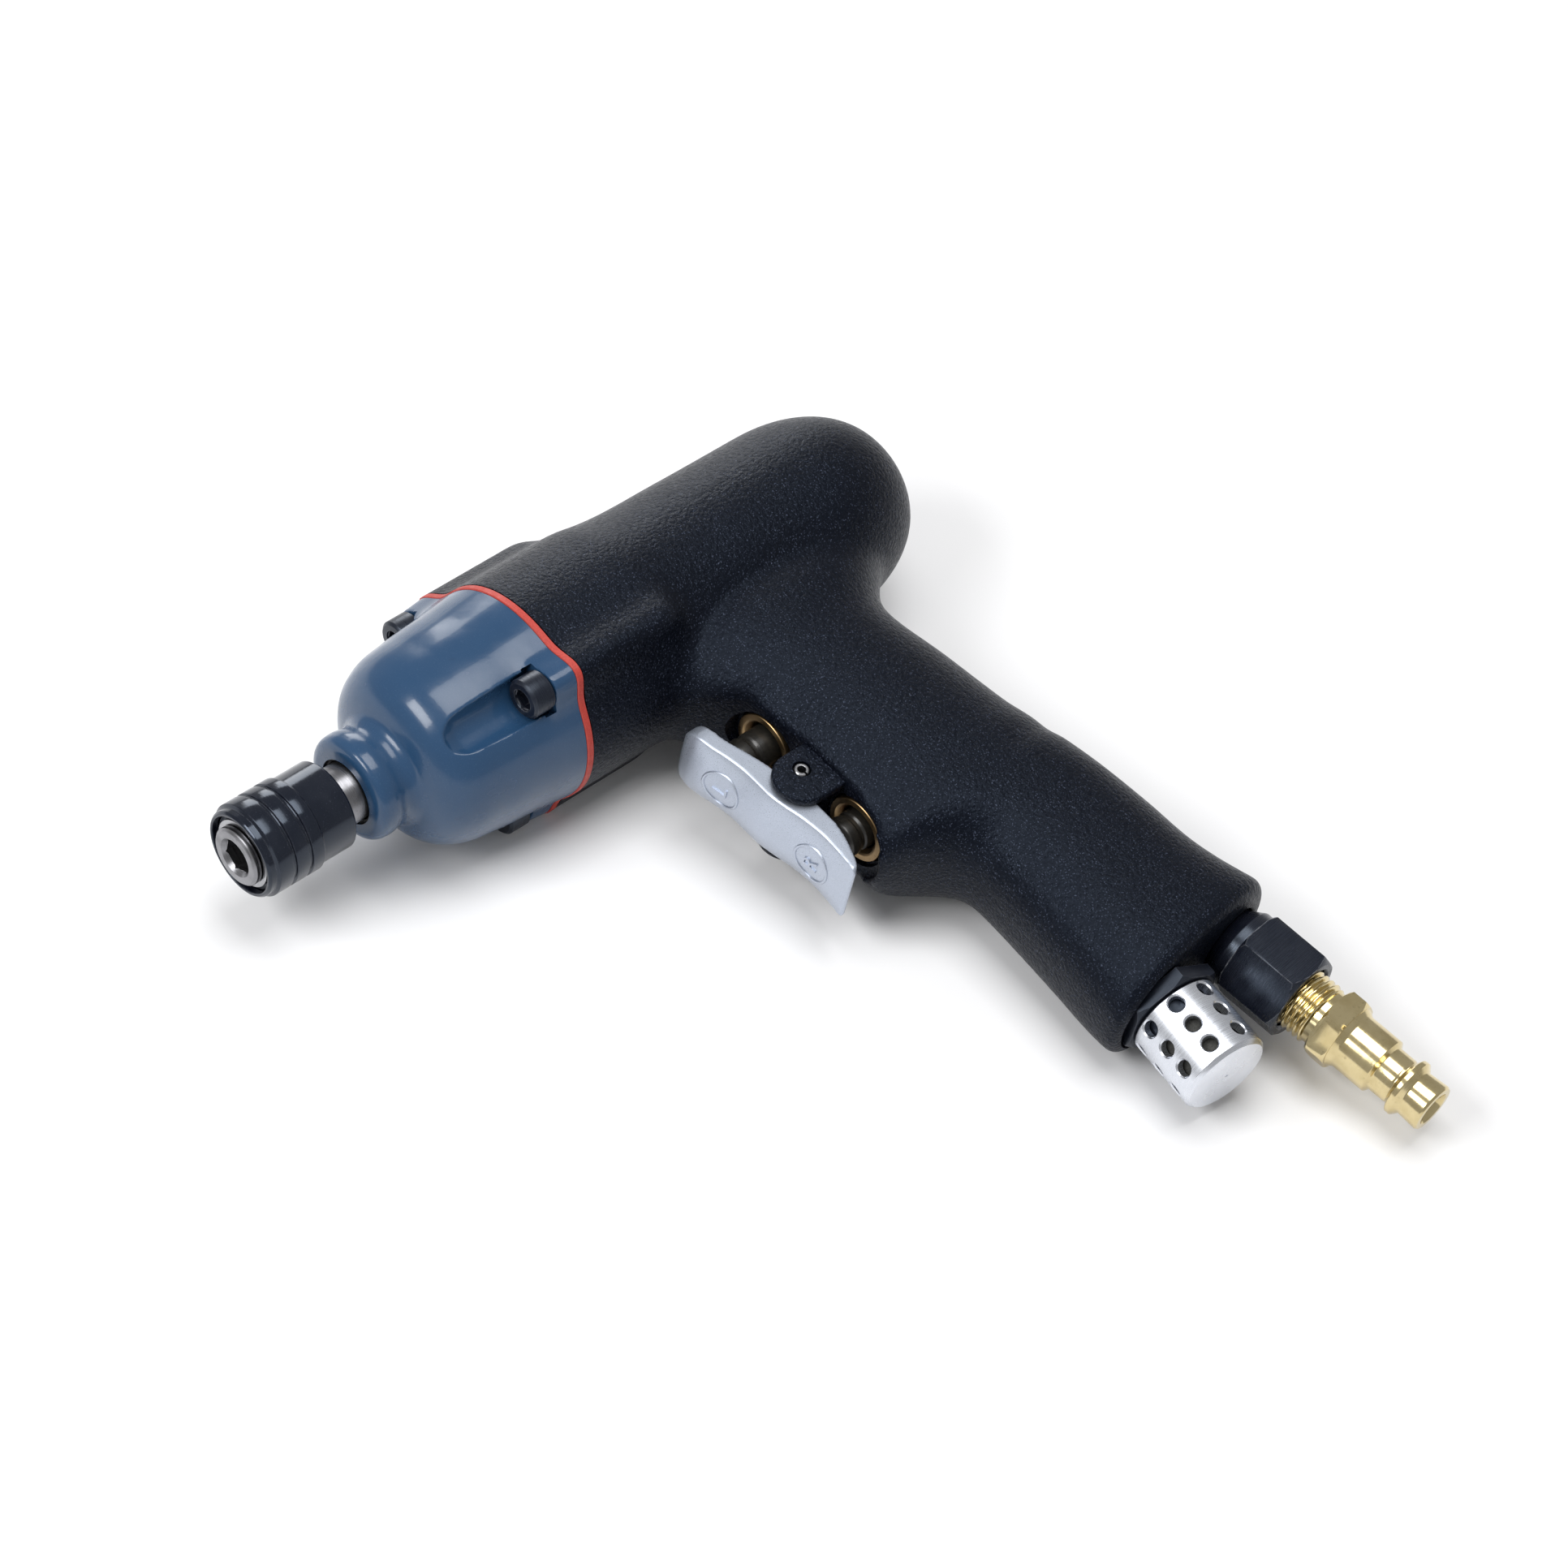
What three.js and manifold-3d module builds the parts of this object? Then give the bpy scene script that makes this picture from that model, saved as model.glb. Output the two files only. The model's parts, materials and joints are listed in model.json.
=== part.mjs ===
// A pistol-grip pneumatic impact wrench with a 1/4 inch quick-change bit holder, in millimetres.
// Tool frame: the drive axis is the Y axis, the bit end looks to -Y and the grip hangs to +X.
// Y = 0 is the rear edge of the chuck sleeve, and Z = 0 is the tool's plane of symmetry.
// The last group rolls the tool onto its right side, so that the case and the grip rest on z = 0.
import * as THREE from "three";
import { mergeVertices } from "three/addons/utils/BufferGeometryUtils.js";
import Module from "manifold-3d";

const wasm = await Module();
wasm.setup();

// ---- Driving dimensions ----
const GAP = 0.3; // clearance between neighbouring solids
const ROLL = 4.33; // degrees about the drive axis, until case and grip both touch the ground
const REST = { x: -73.51, y: -60.43, z: 23.605 }; // puts the middle of the footprint at the origin

const HEX_ACROSS_FLATS = 6.35;
const SOCKET_DEPTH = 25;
const ANVIL = { front: -22.1, rear: 44, radius: 6.1, drumRadius: 7.4, lugRadius: 8.7 };
const SLEEVE = { front: -21, radius: 9.75, rearRadius: 9.2, bore: 6.4, travel: 4 };
const BALL = { y: -9.5, radius: 1.6, centre: 4.25 };

const CASE = { rear: 45.3, cavity: 15.6, cavityFront: 19.5 };
const GASKET = { front: 45.4, rear: 46.9 };
const SCREWS = { seat: 40.5, headRadius: 4.1, head: 5, shank: 2.4, end: 62 };
const SIDE_BOSS = { circle: 21.8, lobe: 4.2, spread: 10 }; // a screw boss: mm, mm, degrees
const BOSSES = [
  { angle: 57, ...SIDE_BOSS },
  { angle: 180, circle: 22.6, lobe: 5.1, spread: 12 }, // the top, when the tool is held by its grip
  { angle: 303, ...SIDE_BOSS },
];

const HOUSING = { front: 47, bore: 17.9, boreRear: 103, radius: 22.7, rearRadius: 20.9 };
const MOTOR = { front: 56, rear: 96, rotor: 12.4, shaft: 4, liner: 17.6, bore: 14.3, offset: 1.6 };
const VANES = 6;

const FACE_Y = 79; // flat front of the grip behind the trigger
const VALVE = { bore: 5.2, ring: 7, stem: 4.1 };
const VALVES = [
  { side: "left", x: 37.5, face: 77.6, tip: 68.6 },
  { side: "right", x: 62.7, face: 78.9, tip: 72.4 },
];
const PIVOT = { x: 50.5, y: 73.9, pin: 1.6 };
const EAR = { inner: 7.95, outer: 9.8, radius: 5.9, x: 51.8, y: 72.9 };
const TRIGGER = { halfWidth: 7.6, crown: 1.8, corner: 2.2, middle: 51, boss: 3.9 };

const INLET = { x: 124, y: 121.3, tilt: 4.8 }; // degrees towards the back of the tool
const EXHAUST = { x: 127, y: 100.3, tilt: -5.9 }; // degrees towards the front of the tool

const ROUND = 28; // segments round a part that shows
const INNER = 16; // segments round a part inside

// ---- Materials ----
const finish = (color, roughness, metalness) => () =>
  new THREE.MeshStandardMaterial({ color, roughness, metalness });
const casePaint = finish("#2d4f6b", 0.35, 0.3);
const blackCoat = finish("#15171c", 0.75, 0.1);
const blackSteel = finish("#18191b", 0.4, 0.8);
const steel = finish("#a9abad", 0.3, 1);
const springSteel = finish("#8b8d90", 0.35, 1);
const brass = finish("#c8a95a", 0.3, 1);
const bronze = finish("#9a7d4c", 0.4, 0.9);
const satinSilver = finish("#c3c8cc", 0.4, 0.7);
const aluminium = finish("#d4d6d9", 0.35, 0.9);
const rubber = finish("#101010", 0.8, 0);
const gasketRed = finish("#c0392f", 0.7, 0);
const phenolic = finish("#6b4a2c", 0.7, 0);
const felt = finish("#b9b4a6", 0.95, 0);

// ---- Solids: three.js makes every shape, manifold-3d joins and cuts them ----
function solidOf(geometry) {
  const bare = geometry.clone();
  bare.deleteAttribute("normal");
  bare.deleteAttribute("uv");
  const merged = mergeVertices(bare, 1e-4);
  return new wasm.Manifold(
    new wasm.Mesh({
      numProp: 3,
      vertProperties: merged.attributes.position.array,
      triVerts: new Uint32Array(merged.index.array),
    }),
  );
}

function geometryOf(solid) {
  const mesh = solid.getMesh();
  const geometry = new THREE.BufferGeometry();
  geometry.setAttribute("position", new THREE.BufferAttribute(mesh.vertProperties, 3));
  geometry.setIndex(new THREE.BufferAttribute(mesh.triVerts, 1));
  geometry.computeVertexNormals();
  return geometry;
}

// A solid moved by a three.js placement.
function placed(solid, { at = [0, 0, 0], turn = [0, 0, 0] }) {
  const move = new THREE.Object3D();
  move.position.set(...at);
  move.rotation.set(...turn.map(THREE.MathUtils.degToRad));
  move.updateMatrix();
  return solid.transform(move.matrix.elements);
}

// A body turned about the Y axis from a profile of [radius, y] points.
// A profile that touches the axis at both ends is a plain turning, any other one is a ring.
function turned(profile, segments = ROUND) {
  const onAxis = profile[0][0] === 0 && profile.at(-1)[0] === 0;
  const points = (onAxis ? profile : [...profile, profile[0]]).map((p) => new THREE.Vector2(...p));
  const solid = solidOf(new THREE.LatheGeometry(points, segments));
  return solid.volume() > 0 ? solid : solidOf(new THREE.LatheGeometry(points.reverse(), segments));
}

const disc = (radius, low, high, segments) =>
  turned([[0, low], [radius, low], [radius, high], [0, high]], segments);

const ring = (inner, outer, low, high, segments) =>
  turned([[inner, low], [outer, low], [outer, high], [inner, high]], segments);

// A right prism along Y with a regular outline, given across its flats.
function prism(sides, acrossFlats, low, high) {
  const corner = acrossFlats / 2 / Math.cos(Math.PI / sides);
  const body = new THREE.CylinderGeometry(corner, corner, high - low, sides);
  return solidOf(body.rotateY(Math.PI / sides).translate(0, (low + high) / 2, 0));
}

const block = (x, y, z, at) => solidOf(new THREE.BoxGeometry(x, y, z).translate(...at));

// An outline in the XY plane given a thickness along Z, between low and high.
function plate(shape, low, high, curveSegments = 10) {
  const options = { depth: high - low, bevelEnabled: false, curveSegments };
  return solidOf(new THREE.ExtrudeGeometry(shape, options).translate(0, 0, low));
}

// A closed skin through rings of points that all hold the same number of points.
function loft(rings) {
  const count = rings[0].length;
  const middle = (points) =>
    points.reduce((sum, p) => sum.add(p), new THREE.Vector3()).divideScalar(points.length);
  const points = [...rings.flat(), middle(rings[0]), middle(rings.at(-1))];
  const faces = [];
  rings.slice(1).forEach((_, i) => {
    for (let j = 0; j < count; j += 1) {
      const next = (j + 1) % count;
      const [a, b, c, d] = [i * count + j, i * count + next, (i + 1) * count + next, (i + 1) * count + j];
      faces.push(a, b, c, a, c, d);
    }
  });
  const last = (rings.length - 1) * count;
  for (let j = 0; j < count; j += 1) {
    const next = (j + 1) % count;
    faces.push(points.length - 2, next, j, points.length - 1, last + j, last + next);
  }
  const build = (index) =>
    solidOf(new THREE.BufferGeometry().setFromPoints(points).setIndex(index));
  const solid = build(faces);
  return solid.volume() > 0 ? solid : build([...faces].reverse());
}

// A close-wound or open coil of round wire about the Y axis.
function coil(radius, wire, low, high, turns, stepsPerTurn = 10) {
  class Helix extends THREE.Curve {
    getPoint(t, target = new THREE.Vector3()) {
      const angle = 2 * Math.PI * turns * t;
      const y = THREE.MathUtils.lerp(low + wire, high - wire, t);
      return target.set(radius * Math.cos(angle), y, radius * Math.sin(angle));
    }
  }
  const section = new THREE.Shape().absarc(0, 0, wire, 0, 2 * Math.PI, false);
  const options = { steps: Math.round(turns * stepsPerTurn), curveSegments: 2, bevelEnabled: false };
  return solidOf(new THREE.ExtrudeGeometry(section, { ...options, extrudePath: new Helix() }));
}

const union = (first, ...rest) => rest.reduce((sum, solid) => sum.add(solid), first);
const without = (first, ...cuts) => cuts.reduce((sum, cut) => sum.subtract(cut), first);
const around = (count, make) =>
  Array.from({ length: count }, (_, i) => make((360 / count) * i));

const tool = new THREE.Group();

function add(name, solid, material, parent = tool) {
  const mesh = new THREE.Mesh(geometryOf(solid), material());
  mesh.name = name;
  parent.add(mesh);
  return mesh;
}

// ---- Bit holder: anvil with its hex socket, ball lock and sliding sleeve ----
function bitHolder() {
  const { front, rear, radius, drumRadius, lugRadius } = ANVIL;
  const body = turned([
    [0, front], [radius - 0.5, front], [radius, front + 0.5],
    [radius, -20.5], [5.3, -20.5], [5.3, -19.5], [radius, -19.5],
    [radius, -2.9], [5.4, -2.9], [5.4, -1.9], [radius, -1.9],
    [radius, 27.2], [drumRadius, 27.2], [drumRadius, 41], [3.8, 41], [3.8, rear], [0, rear],
  ]);
  const lugs = [0, 180].map((turn) => {
    const lug = block(lugRadius, 13.2, 4.4, [lugRadius / 2, 34.2, 0]);
    return placed(lug.intersect(disc(lugRadius, 27, 41.5)), { turn: [0, turn, 0] });
  });
  const socket = prism(6, HEX_ACROSS_FLATS, front - 1, front + SOCKET_DEPTH);
  const mouth = turned([[0, front - 1], [4.9, front - 1], [3.4, front + 0.9], [0, front + 0.9]]);
  const ballHole = placed(disc(BALL.radius + 0.15, 2, 8, 20), { at: [0, BALL.y, 0], turn: [90, 0, 0] });
  add("anvil", without(union(body, ...lugs), socket, mouth, ballHole), steel);

  add("retaining_ring", ring(5.6, 7.1, -20.3, -19.7, INNER), springSteel);
  add("spring_washer", ring(6.4, 7.9, -19.5, -18.8, INNER), blackSteel);
  add("sleeve_spring", coil(7.2, 0.45, -18.6, -12.1, 3.5), springSteel);
  add("sleeve_stop_ring", ring(5.65, 7.2, -2.75, -2.05, INNER), springSteel);

  const ball = new THREE.SphereGeometry(BALL.radius, 10, 6);
  add("lock_ball", solidOf(ball), steel).position.set(0, BALL.y, BALL.centre);

  const { radius: outer, rearRadius, bore } = SLEEVE;
  const groove = (y) => [[outer, y], [outer - 0.45, y + 0.15], [outer - 0.45, y + 0.75], [outer, y + 0.9]];
  const sleeve = turned([
    [8.1, SLEEVE.front], [outer - 1.1, SLEEVE.front], [outer - 0.7, SLEEVE.front + 0.5],
    [outer - 0.7, -19.3], [outer, -19],
    ...[-15.7, -11.9].flatMap(groove),
    [outer, -8.4], [rearRadius, -8], [rearRadius, -0.5], [rearRadius - 0.5, 0],
    [7.5, 0], [7.5, -3.1], [bore, -3.1], [bore, -3.6], [7, -3.9], [7, -7.7], [bore, -8],
    [bore, -11.8], [8.1, -11.8],
  ]);
  add("chuck_sleeve", sleeve, blackSteel);
}

// ---- Hammer case: a lobed shell with three screw bosses ----
// Angles round a lobed ring: close together over each boss, wider apart between bosses.
function ringAngles() {
  const overBoss = [-20, -13, -7, 0, 7, 13, 20];
  const between = 5;
  return BOSSES.flatMap(({ angle }, i) => {
    const next = (BOSSES[i + 1] ?? { angle: BOSSES[0].angle + 360 }).angle;
    const [from, to] = [angle + overBoss.at(-1), next + overBoss[0]];
    const spaced = Array.from({ length: between }, (_, k) => from + ((to - from) * (k + 1)) / (between + 1));
    return [...overBoss.map((step) => angle + step), ...spaced];
  });
}

// A ring round the drive axis at place y. Its radius swells at the screw bosses by a share of each lobe.
function lobedRing(y, radius, share) {
  return ringAngles().map((angle) => {
    const swell = BOSSES.reduce((sum, boss) => {
      const away = Math.abs(((angle - boss.angle + 540) % 360) - 180);
      return sum + boss.lobe * Math.exp(-((away / boss.spread) ** 2));
    }, 0);
    const r = radius + share * swell;
    const turn = THREE.MathUtils.degToRad(angle);
    return new THREE.Vector3(r * Math.cos(turn), y, r * Math.sin(turn));
  });
}

// A copy at each screw, of a solid made round the Y axis.
const atScrews = (solid) =>
  BOSSES.map(({ angle, circle }) => {
    const turn = THREE.MathUtils.degToRad(angle);
    const at = [circle * Math.cos(turn), 0, circle * Math.sin(turn)];
    return placed(solid, { at });
  });

function hammerCase() {
  const plain = [
    [4.6, 8.9], [4.9, 9.8], [5.8, 10.7], [7.4, 11], [13, 11.2], [13.7, 11.9], [14.3, 13.4],
    [15.2, 15.2], [16.4, 16.8], [18, 18.1], [20.5, 19.4], [28, 20.8], [37.5, 21.6],
  ];
  const skin = loft([
    ...plain.map(([y, radius]) => lobedRing(y, radius, 0)),
    lobedRing(39.4, 21.8, 0.8),
    lobedRing(40.4, 21.9, 1),
    lobedRing(CASE.rear, 22.6, 1),
  ]);
  const { cavity, cavityFront, rear } = CASE;
  const hollow = turned([
    [0, 4], [6.9, 4], [6.9, 5.1], [7.7, 5.1], [7.7, 6.7], [6.6, 6.7], [6.6, 7.3], [8.6, 7.3], [8.6, 26.5],
    [11, 26.5], [11, cavityFront], [cavity - 1.2, cavityFront], [cavity, 22], [cavity, rear + 1], [0, rear + 1],
  ]);
  const spotFace = SCREWS.seat - 2.2;
  const channel = turned([
    [0, 16.8], [2.2, 17.4], [3.9, 18.9], [4.6, 21.5], [4.6, spotFace], [5.2, spotFace],
    [5.2, SCREWS.seat], [0, SCREWS.seat],
  ], 20);
  const hole = disc(SCREWS.shank + GAP, SCREWS.seat - 1, rear + 1, 20);
  add("hammer_case", without(skin, hollow, ...atScrews(channel), ...atScrews(hole)), casePaint);
  add("anvil_bushing", ring(6.3, 8.3, 7.6, 26.2), bronze);
  add("anvil_seal", ring(6.3, 7.4, 5.4, 6.4), rubber);

  const { front, rear: back } = GASKET;
  const sheet = loft([front, back].map((y) => lobedRing(y, 22.65, 1)));
  const openings = [disc(cavity, front - 1, back + 1), ...atScrews(disc(2.8, front - 1, back + 1, 20))];
  add("case_gasket", without(sheet, ...openings), gasketRed);

  const { seat, headRadius, head, shank, end } = SCREWS;
  const key = prism(6, 4, seat - head - 1, seat - head + 2.6);
  const screw = without(turned([
    [0, seat - head - GAP], [headRadius - 0.4, seat - head - GAP], [headRadius, seat - head],
    [headRadius, seat - GAP], [shank, seat - GAP], [shank, end - 1], [shank - 0.8, end], [0, end],
  ], INNER), key);
  atScrews(screw).forEach((solid, i) => add(`case_screw_${i + 1}`, solid, blackSteel));
}

// ---- Hammer mechanism: a cage on the rotor shaft carries two hammer dogs on pins ----
function hammerMechanism() {
  const cageRadius = CASE.cavity - 0.5;
  const pinCircle = 12.2;
  const pin = 1;
  const posts = [90, 270].map((turn) => {
    const post = ring(13.3, cageRadius, 28.5, 44, INNER).intersect(block(6, 20, 9, [14, 36, 0]));
    return placed(post, { turn: [0, turn, 0] });
  });
  const pinHoles = [1, -1].map((side) => placed(disc(pin + GAP, 20, 50, 16), { at: [side * pinCircle, 0, 0] }));
  const plates = union(ring(9.9, cageRadius, 27.3, 29.3, INNER), ring(4.1, cageRadius, 43.1, 46.2, INNER));
  add("hammer_cage", without(union(plates, ...posts), ...pinHoles), steel);

  [1, -1].forEach((side, i) => {
    const low = 29.7 + 6.8 * i;
    const eye = placed(disc(2.4, low, low + 6.3, 20), { at: [side * pinCircle, 0, 0] });
    const own = placed(disc(pin + 0.2, low - 1, low + 8, 16), { at: [side * pinCircle, 0, 0] });
    const other = placed(disc(2.7, low - 1, low + 8, 20), { at: [-side * pinCircle, 0, 0] });
    const dog = without(union(ring(9.7, 12.4, low, low + 6.3, INNER), eye), own, other);
    add(`hammer_dog_${i + 1}`, dog, steel);
    const rod = placed(disc(pin, 27.5, 46, 16), { at: [side * pinCircle, 0, 0] });
    add(`hammer_pin_${i + 1}`, rod, springSteel);
  });
}

// ---- Air motor: a vaned rotor off centre in its cylinder, between two bearings ----
function airMotor() {
  const { front, rear, rotor, shaft, liner, bore, offset } = MOTOR;
  const body = turned([
    [0, 44.5], [shaft - 0.4, 44.5], [shaft - 0.4, 49.6], [shaft, 49.6], [shaft, front + 0.2],
    [rotor, front + 0.2], [rotor, rear - 0.2], [shaft, rear - 0.2], [shaft, 101.8], [0, 101.8],
  ]);
  const slot = block(8, rear - front + 2, 1.9, [11, (front + rear) / 2, 0]);
  const slots = around(VANES, (turn) => placed(slot, { turn: [0, turn, 0] }));
  add("rotor", without(body, ...slots), steel);
  around(VANES, (turn) => turn).forEach((turn, i) => {
    const [inner, outer] = [7.3, rotor + 0.1];
    const vane = block(outer - inner, rear - front - 1, 1.3, [(inner + outer) / 2, (front + rear) / 2, 0]);
    add(`vane_${i + 1}`, placed(vane, { turn: [0, turn, 0] }), phenolic);
  });

  const chamber = placed(disc(bore, front - 1, rear + 1), { at: [0, 0, offset] });
  const ports = [-1, 0, 1].map((place) =>
    placed(disc(2.2, 10, 20, 16), { at: [0, (front + rear) / 2 + 9 * place, 0], turn: [0, 0, -90] }));
  add("cylinder_liner", without(disc(liner, front + 0.1, rear - 0.1), chamber, ...ports), steel);

  // End plates and bearings: the second set is the first one turned end for end.
  const plate = [[10.5, 49.2], [liner, 49.2], [liner, 55.8], [4.6, 55.8], [4.6, 54.9], [10.5, 54.9]];
  const races = [[[8.6, 10.2], "outer_race"], [[6.6, 8], "ball_cage"], [[4.3, 6], "inner_race"]];
  const mirrored = (y) => front + rear - y;
  [["front", (y) => y], ["rear", mirrored]].forEach(([end, map]) => {
    add(`${end}_end_plate`, turned(plate.map(([r, y]) => [r, map(y)]), INNER), steel);
    const [low, high] = [map(50.1), map(54.6)].sort((a, b) => a - b);
    races.forEach(([[inner, outer], kind]) => {
      const inset = kind === "ball_cage" ? 0.6 : 0;
      add(`${end}_bearing_${kind}`, ring(inner, outer, low + inset, high - inset, INNER), springSteel);
    });
  });
}

// ---- Housing: one casting that holds the motor, the grip, the valves and the air passages ----
// A section of the grip at place x: an oval, from oblong to nearly square. It leans with the foot.
function gripRing(x, yFront, yBack, halfWidth, squareness = 2.6, segments = 24) {
  const middle = (yFront + yBack) / 2;
  const halfDepth = (yBack - yFront) / 2;
  const bend = (v) => Math.sign(v) * Math.abs(v) ** (2 / squareness);
  return Array.from({ length: segments }, (_, i) => {
    const turn = (2 * Math.PI * i) / segments;
    const y = middle + halfDepth * bend(Math.cos(turn));
    return new THREE.Vector3(x - 0.12 * (y - 96) * Math.min(1, x / 120), y, halfWidth * bend(Math.sin(turn)));
  });
}

function housingSkin() {
  const dome = Array.from({ length: 8 }, (_, i) => {
    const turn = (Math.PI / 2) * ((i + 0.3) / 7.6);
    return [118 + 25 * Math.sin(turn), HOUSING.rearRadius * Math.cos(turn) ** 0.72];
  });
  const barrel = loft([
    lobedRing(HOUSING.front, HOUSING.radius, 1),
    lobedRing(68, HOUSING.radius, 1),
    lobedRing(71.5, HOUSING.radius - 0.2, 0.8),
    lobedRing(74.5, HOUSING.radius - 0.7, 0.2),
    lobedRing(77, HOUSING.radius - 1, 0),
    lobedRing(97, HOUSING.rearRadius + 0.2, 0),
    ...dome.map(([y, radius]) => lobedRing(y, radius, 0)),
  ]);
  const grip = loft([
    gripRing(8, 68, 124, 15),
    gripRing(20, 67, 125, 17, 2.3),
    gripRing(24, 68, 121.5, 16.8, 2.2),
    gripRing(28, 70, 118, 16.6, 2.2),
    gripRing(32, 72.5, 117.2, 16.4, 2.2),
    gripRing(46, 73.5, 119.6, 16, 2.2),
    gripRing(62, 73.5, 122.1, 15.6, 2.2),
    gripRing(66, 74.4, 122.9, 15.4, 2.3),
    gripRing(69, 74.8, 123.3, 15.3, 2.4),
    gripRing(72, 75.6, 123.6, 15.2, 2.4),
    gripRing(76, 81, 124.3, 15),
    gripRing(81, 87, 125, 14.8),
    gripRing(87, 89, 125.9, 14.6),
    gripRing(97, 88.6, 127, 14.5),
    gripRing(110, 87.7, 128, 14.5),
    gripRing(119, 86.9, 130.2, 14.6),
    gripRing(124, 86.7, 132, 14.4),
    gripRing(126.8, 89, 130.3, 12.5),
  ]);
  return union(barrel, grip);
}

function onAxisFrom({ x, y, tilt }, solid) {
  return placed(solid, { at: [x, y, 0], turn: [0, 0, tilt - 90] });
}

// What the flat face behind the trigger takes off the front of the grip.
function faceCut() {
  const end = VALVES.at(-1).x;
  const outline = [[23.2, 50], [23.2, 69.6], [28, 73.5], [32, 77], [46, 78.4], [end, FACE_Y - 0.3], [end, 50]];
  const shape = new THREE.Shape(outline.map((p) => new THREE.Vector2(...p)));
  return [plate(shape, -20, 20), placed(disc(9.6, 60, FACE_Y - 0.3), { at: [end, 0, 0] })];
}

function motorHousing() {
  const ears = [1, -1].map((side) => {
    const outline = new THREE.Shape().absarc(EAR.x, EAR.y, EAR.radius, 0, -Math.PI, true);
    outline.lineTo(EAR.x - EAR.radius, FACE_Y + 1);
    outline.lineTo(EAR.x + EAR.radius, FACE_Y + 1);
    const [low, high] = [EAR.inner * side, EAR.outer * side].sort((a, b) => a - b);
    return plate(outline, low, high);
  });
  const bore = turned([
    [0, HOUSING.front - 1], [HOUSING.bore, HOUSING.front - 1], [HOUSING.bore, HOUSING.boreRear],
    [9, HOUSING.boreRear], [9, 114], [0, 114],
  ]);
  const valveBores = VALVES.flatMap(({ x, face }) => [
    placed(disc(VALVE.ring + 0.9, 60, face + 1), { at: [x, 0, 0] }),
    placed(disc(VALVE.ring + GAP, 78, 89, INNER), { at: [x, 0, 0] }),
    placed(disc(VALVE.bore, 88, 108.5, INNER), { at: [x, 0, 0] }),
    placed(disc(3, 108, 113.5, 16), { at: [x, 0, 0] }),
  ]);
  const inletBore = onAxisFrom(INLET, turned([
    [0, -96], [4.2, -96], [4.2, -7], [7, -7], [7, -0.8], [8.8, 0.6], [8.8, 9], [0, 9],
  ], INNER));
  const exhaustBore = onAxisFrom(EXHAUST, turned([
    [0, -112], [4, -112], [4, -7], [7.6, -7], [7.6, -0.9], [11.5, -0.9], [11.5, 9], [0, 9],
  ], INNER));
  const pinHole = solidOf(new THREE.CylinderGeometry(PIVOT.pin + GAP, PIVOT.pin + GAP, 30, 20)
    .rotateX(Math.PI / 2).translate(PIVOT.x, PIVOT.y, 0));
  const hangSlot = block(6, 8, 3.2, [-HOUSING.radius - 5.3, 66, 0]);
  const threads = atScrews(disc(SCREWS.shank + GAP, HOUSING.front - 1, SCREWS.end + 1.5, 20));
  const triggerRoom = block(EAR.radius * 2 + 2, 14, EAR.inner * 2, [EAR.x, FACE_Y - 7, 0]);
  const solid = without(
    union(without(housingSkin(), ...faceCut()), ...ears),
    bore, ...valveBores, inletBore, exhaustBore, pinHole, hangSlot, ...threads, triggerRoom,
  );
  add("motor_housing", solid, blackCoat);
}

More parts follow.
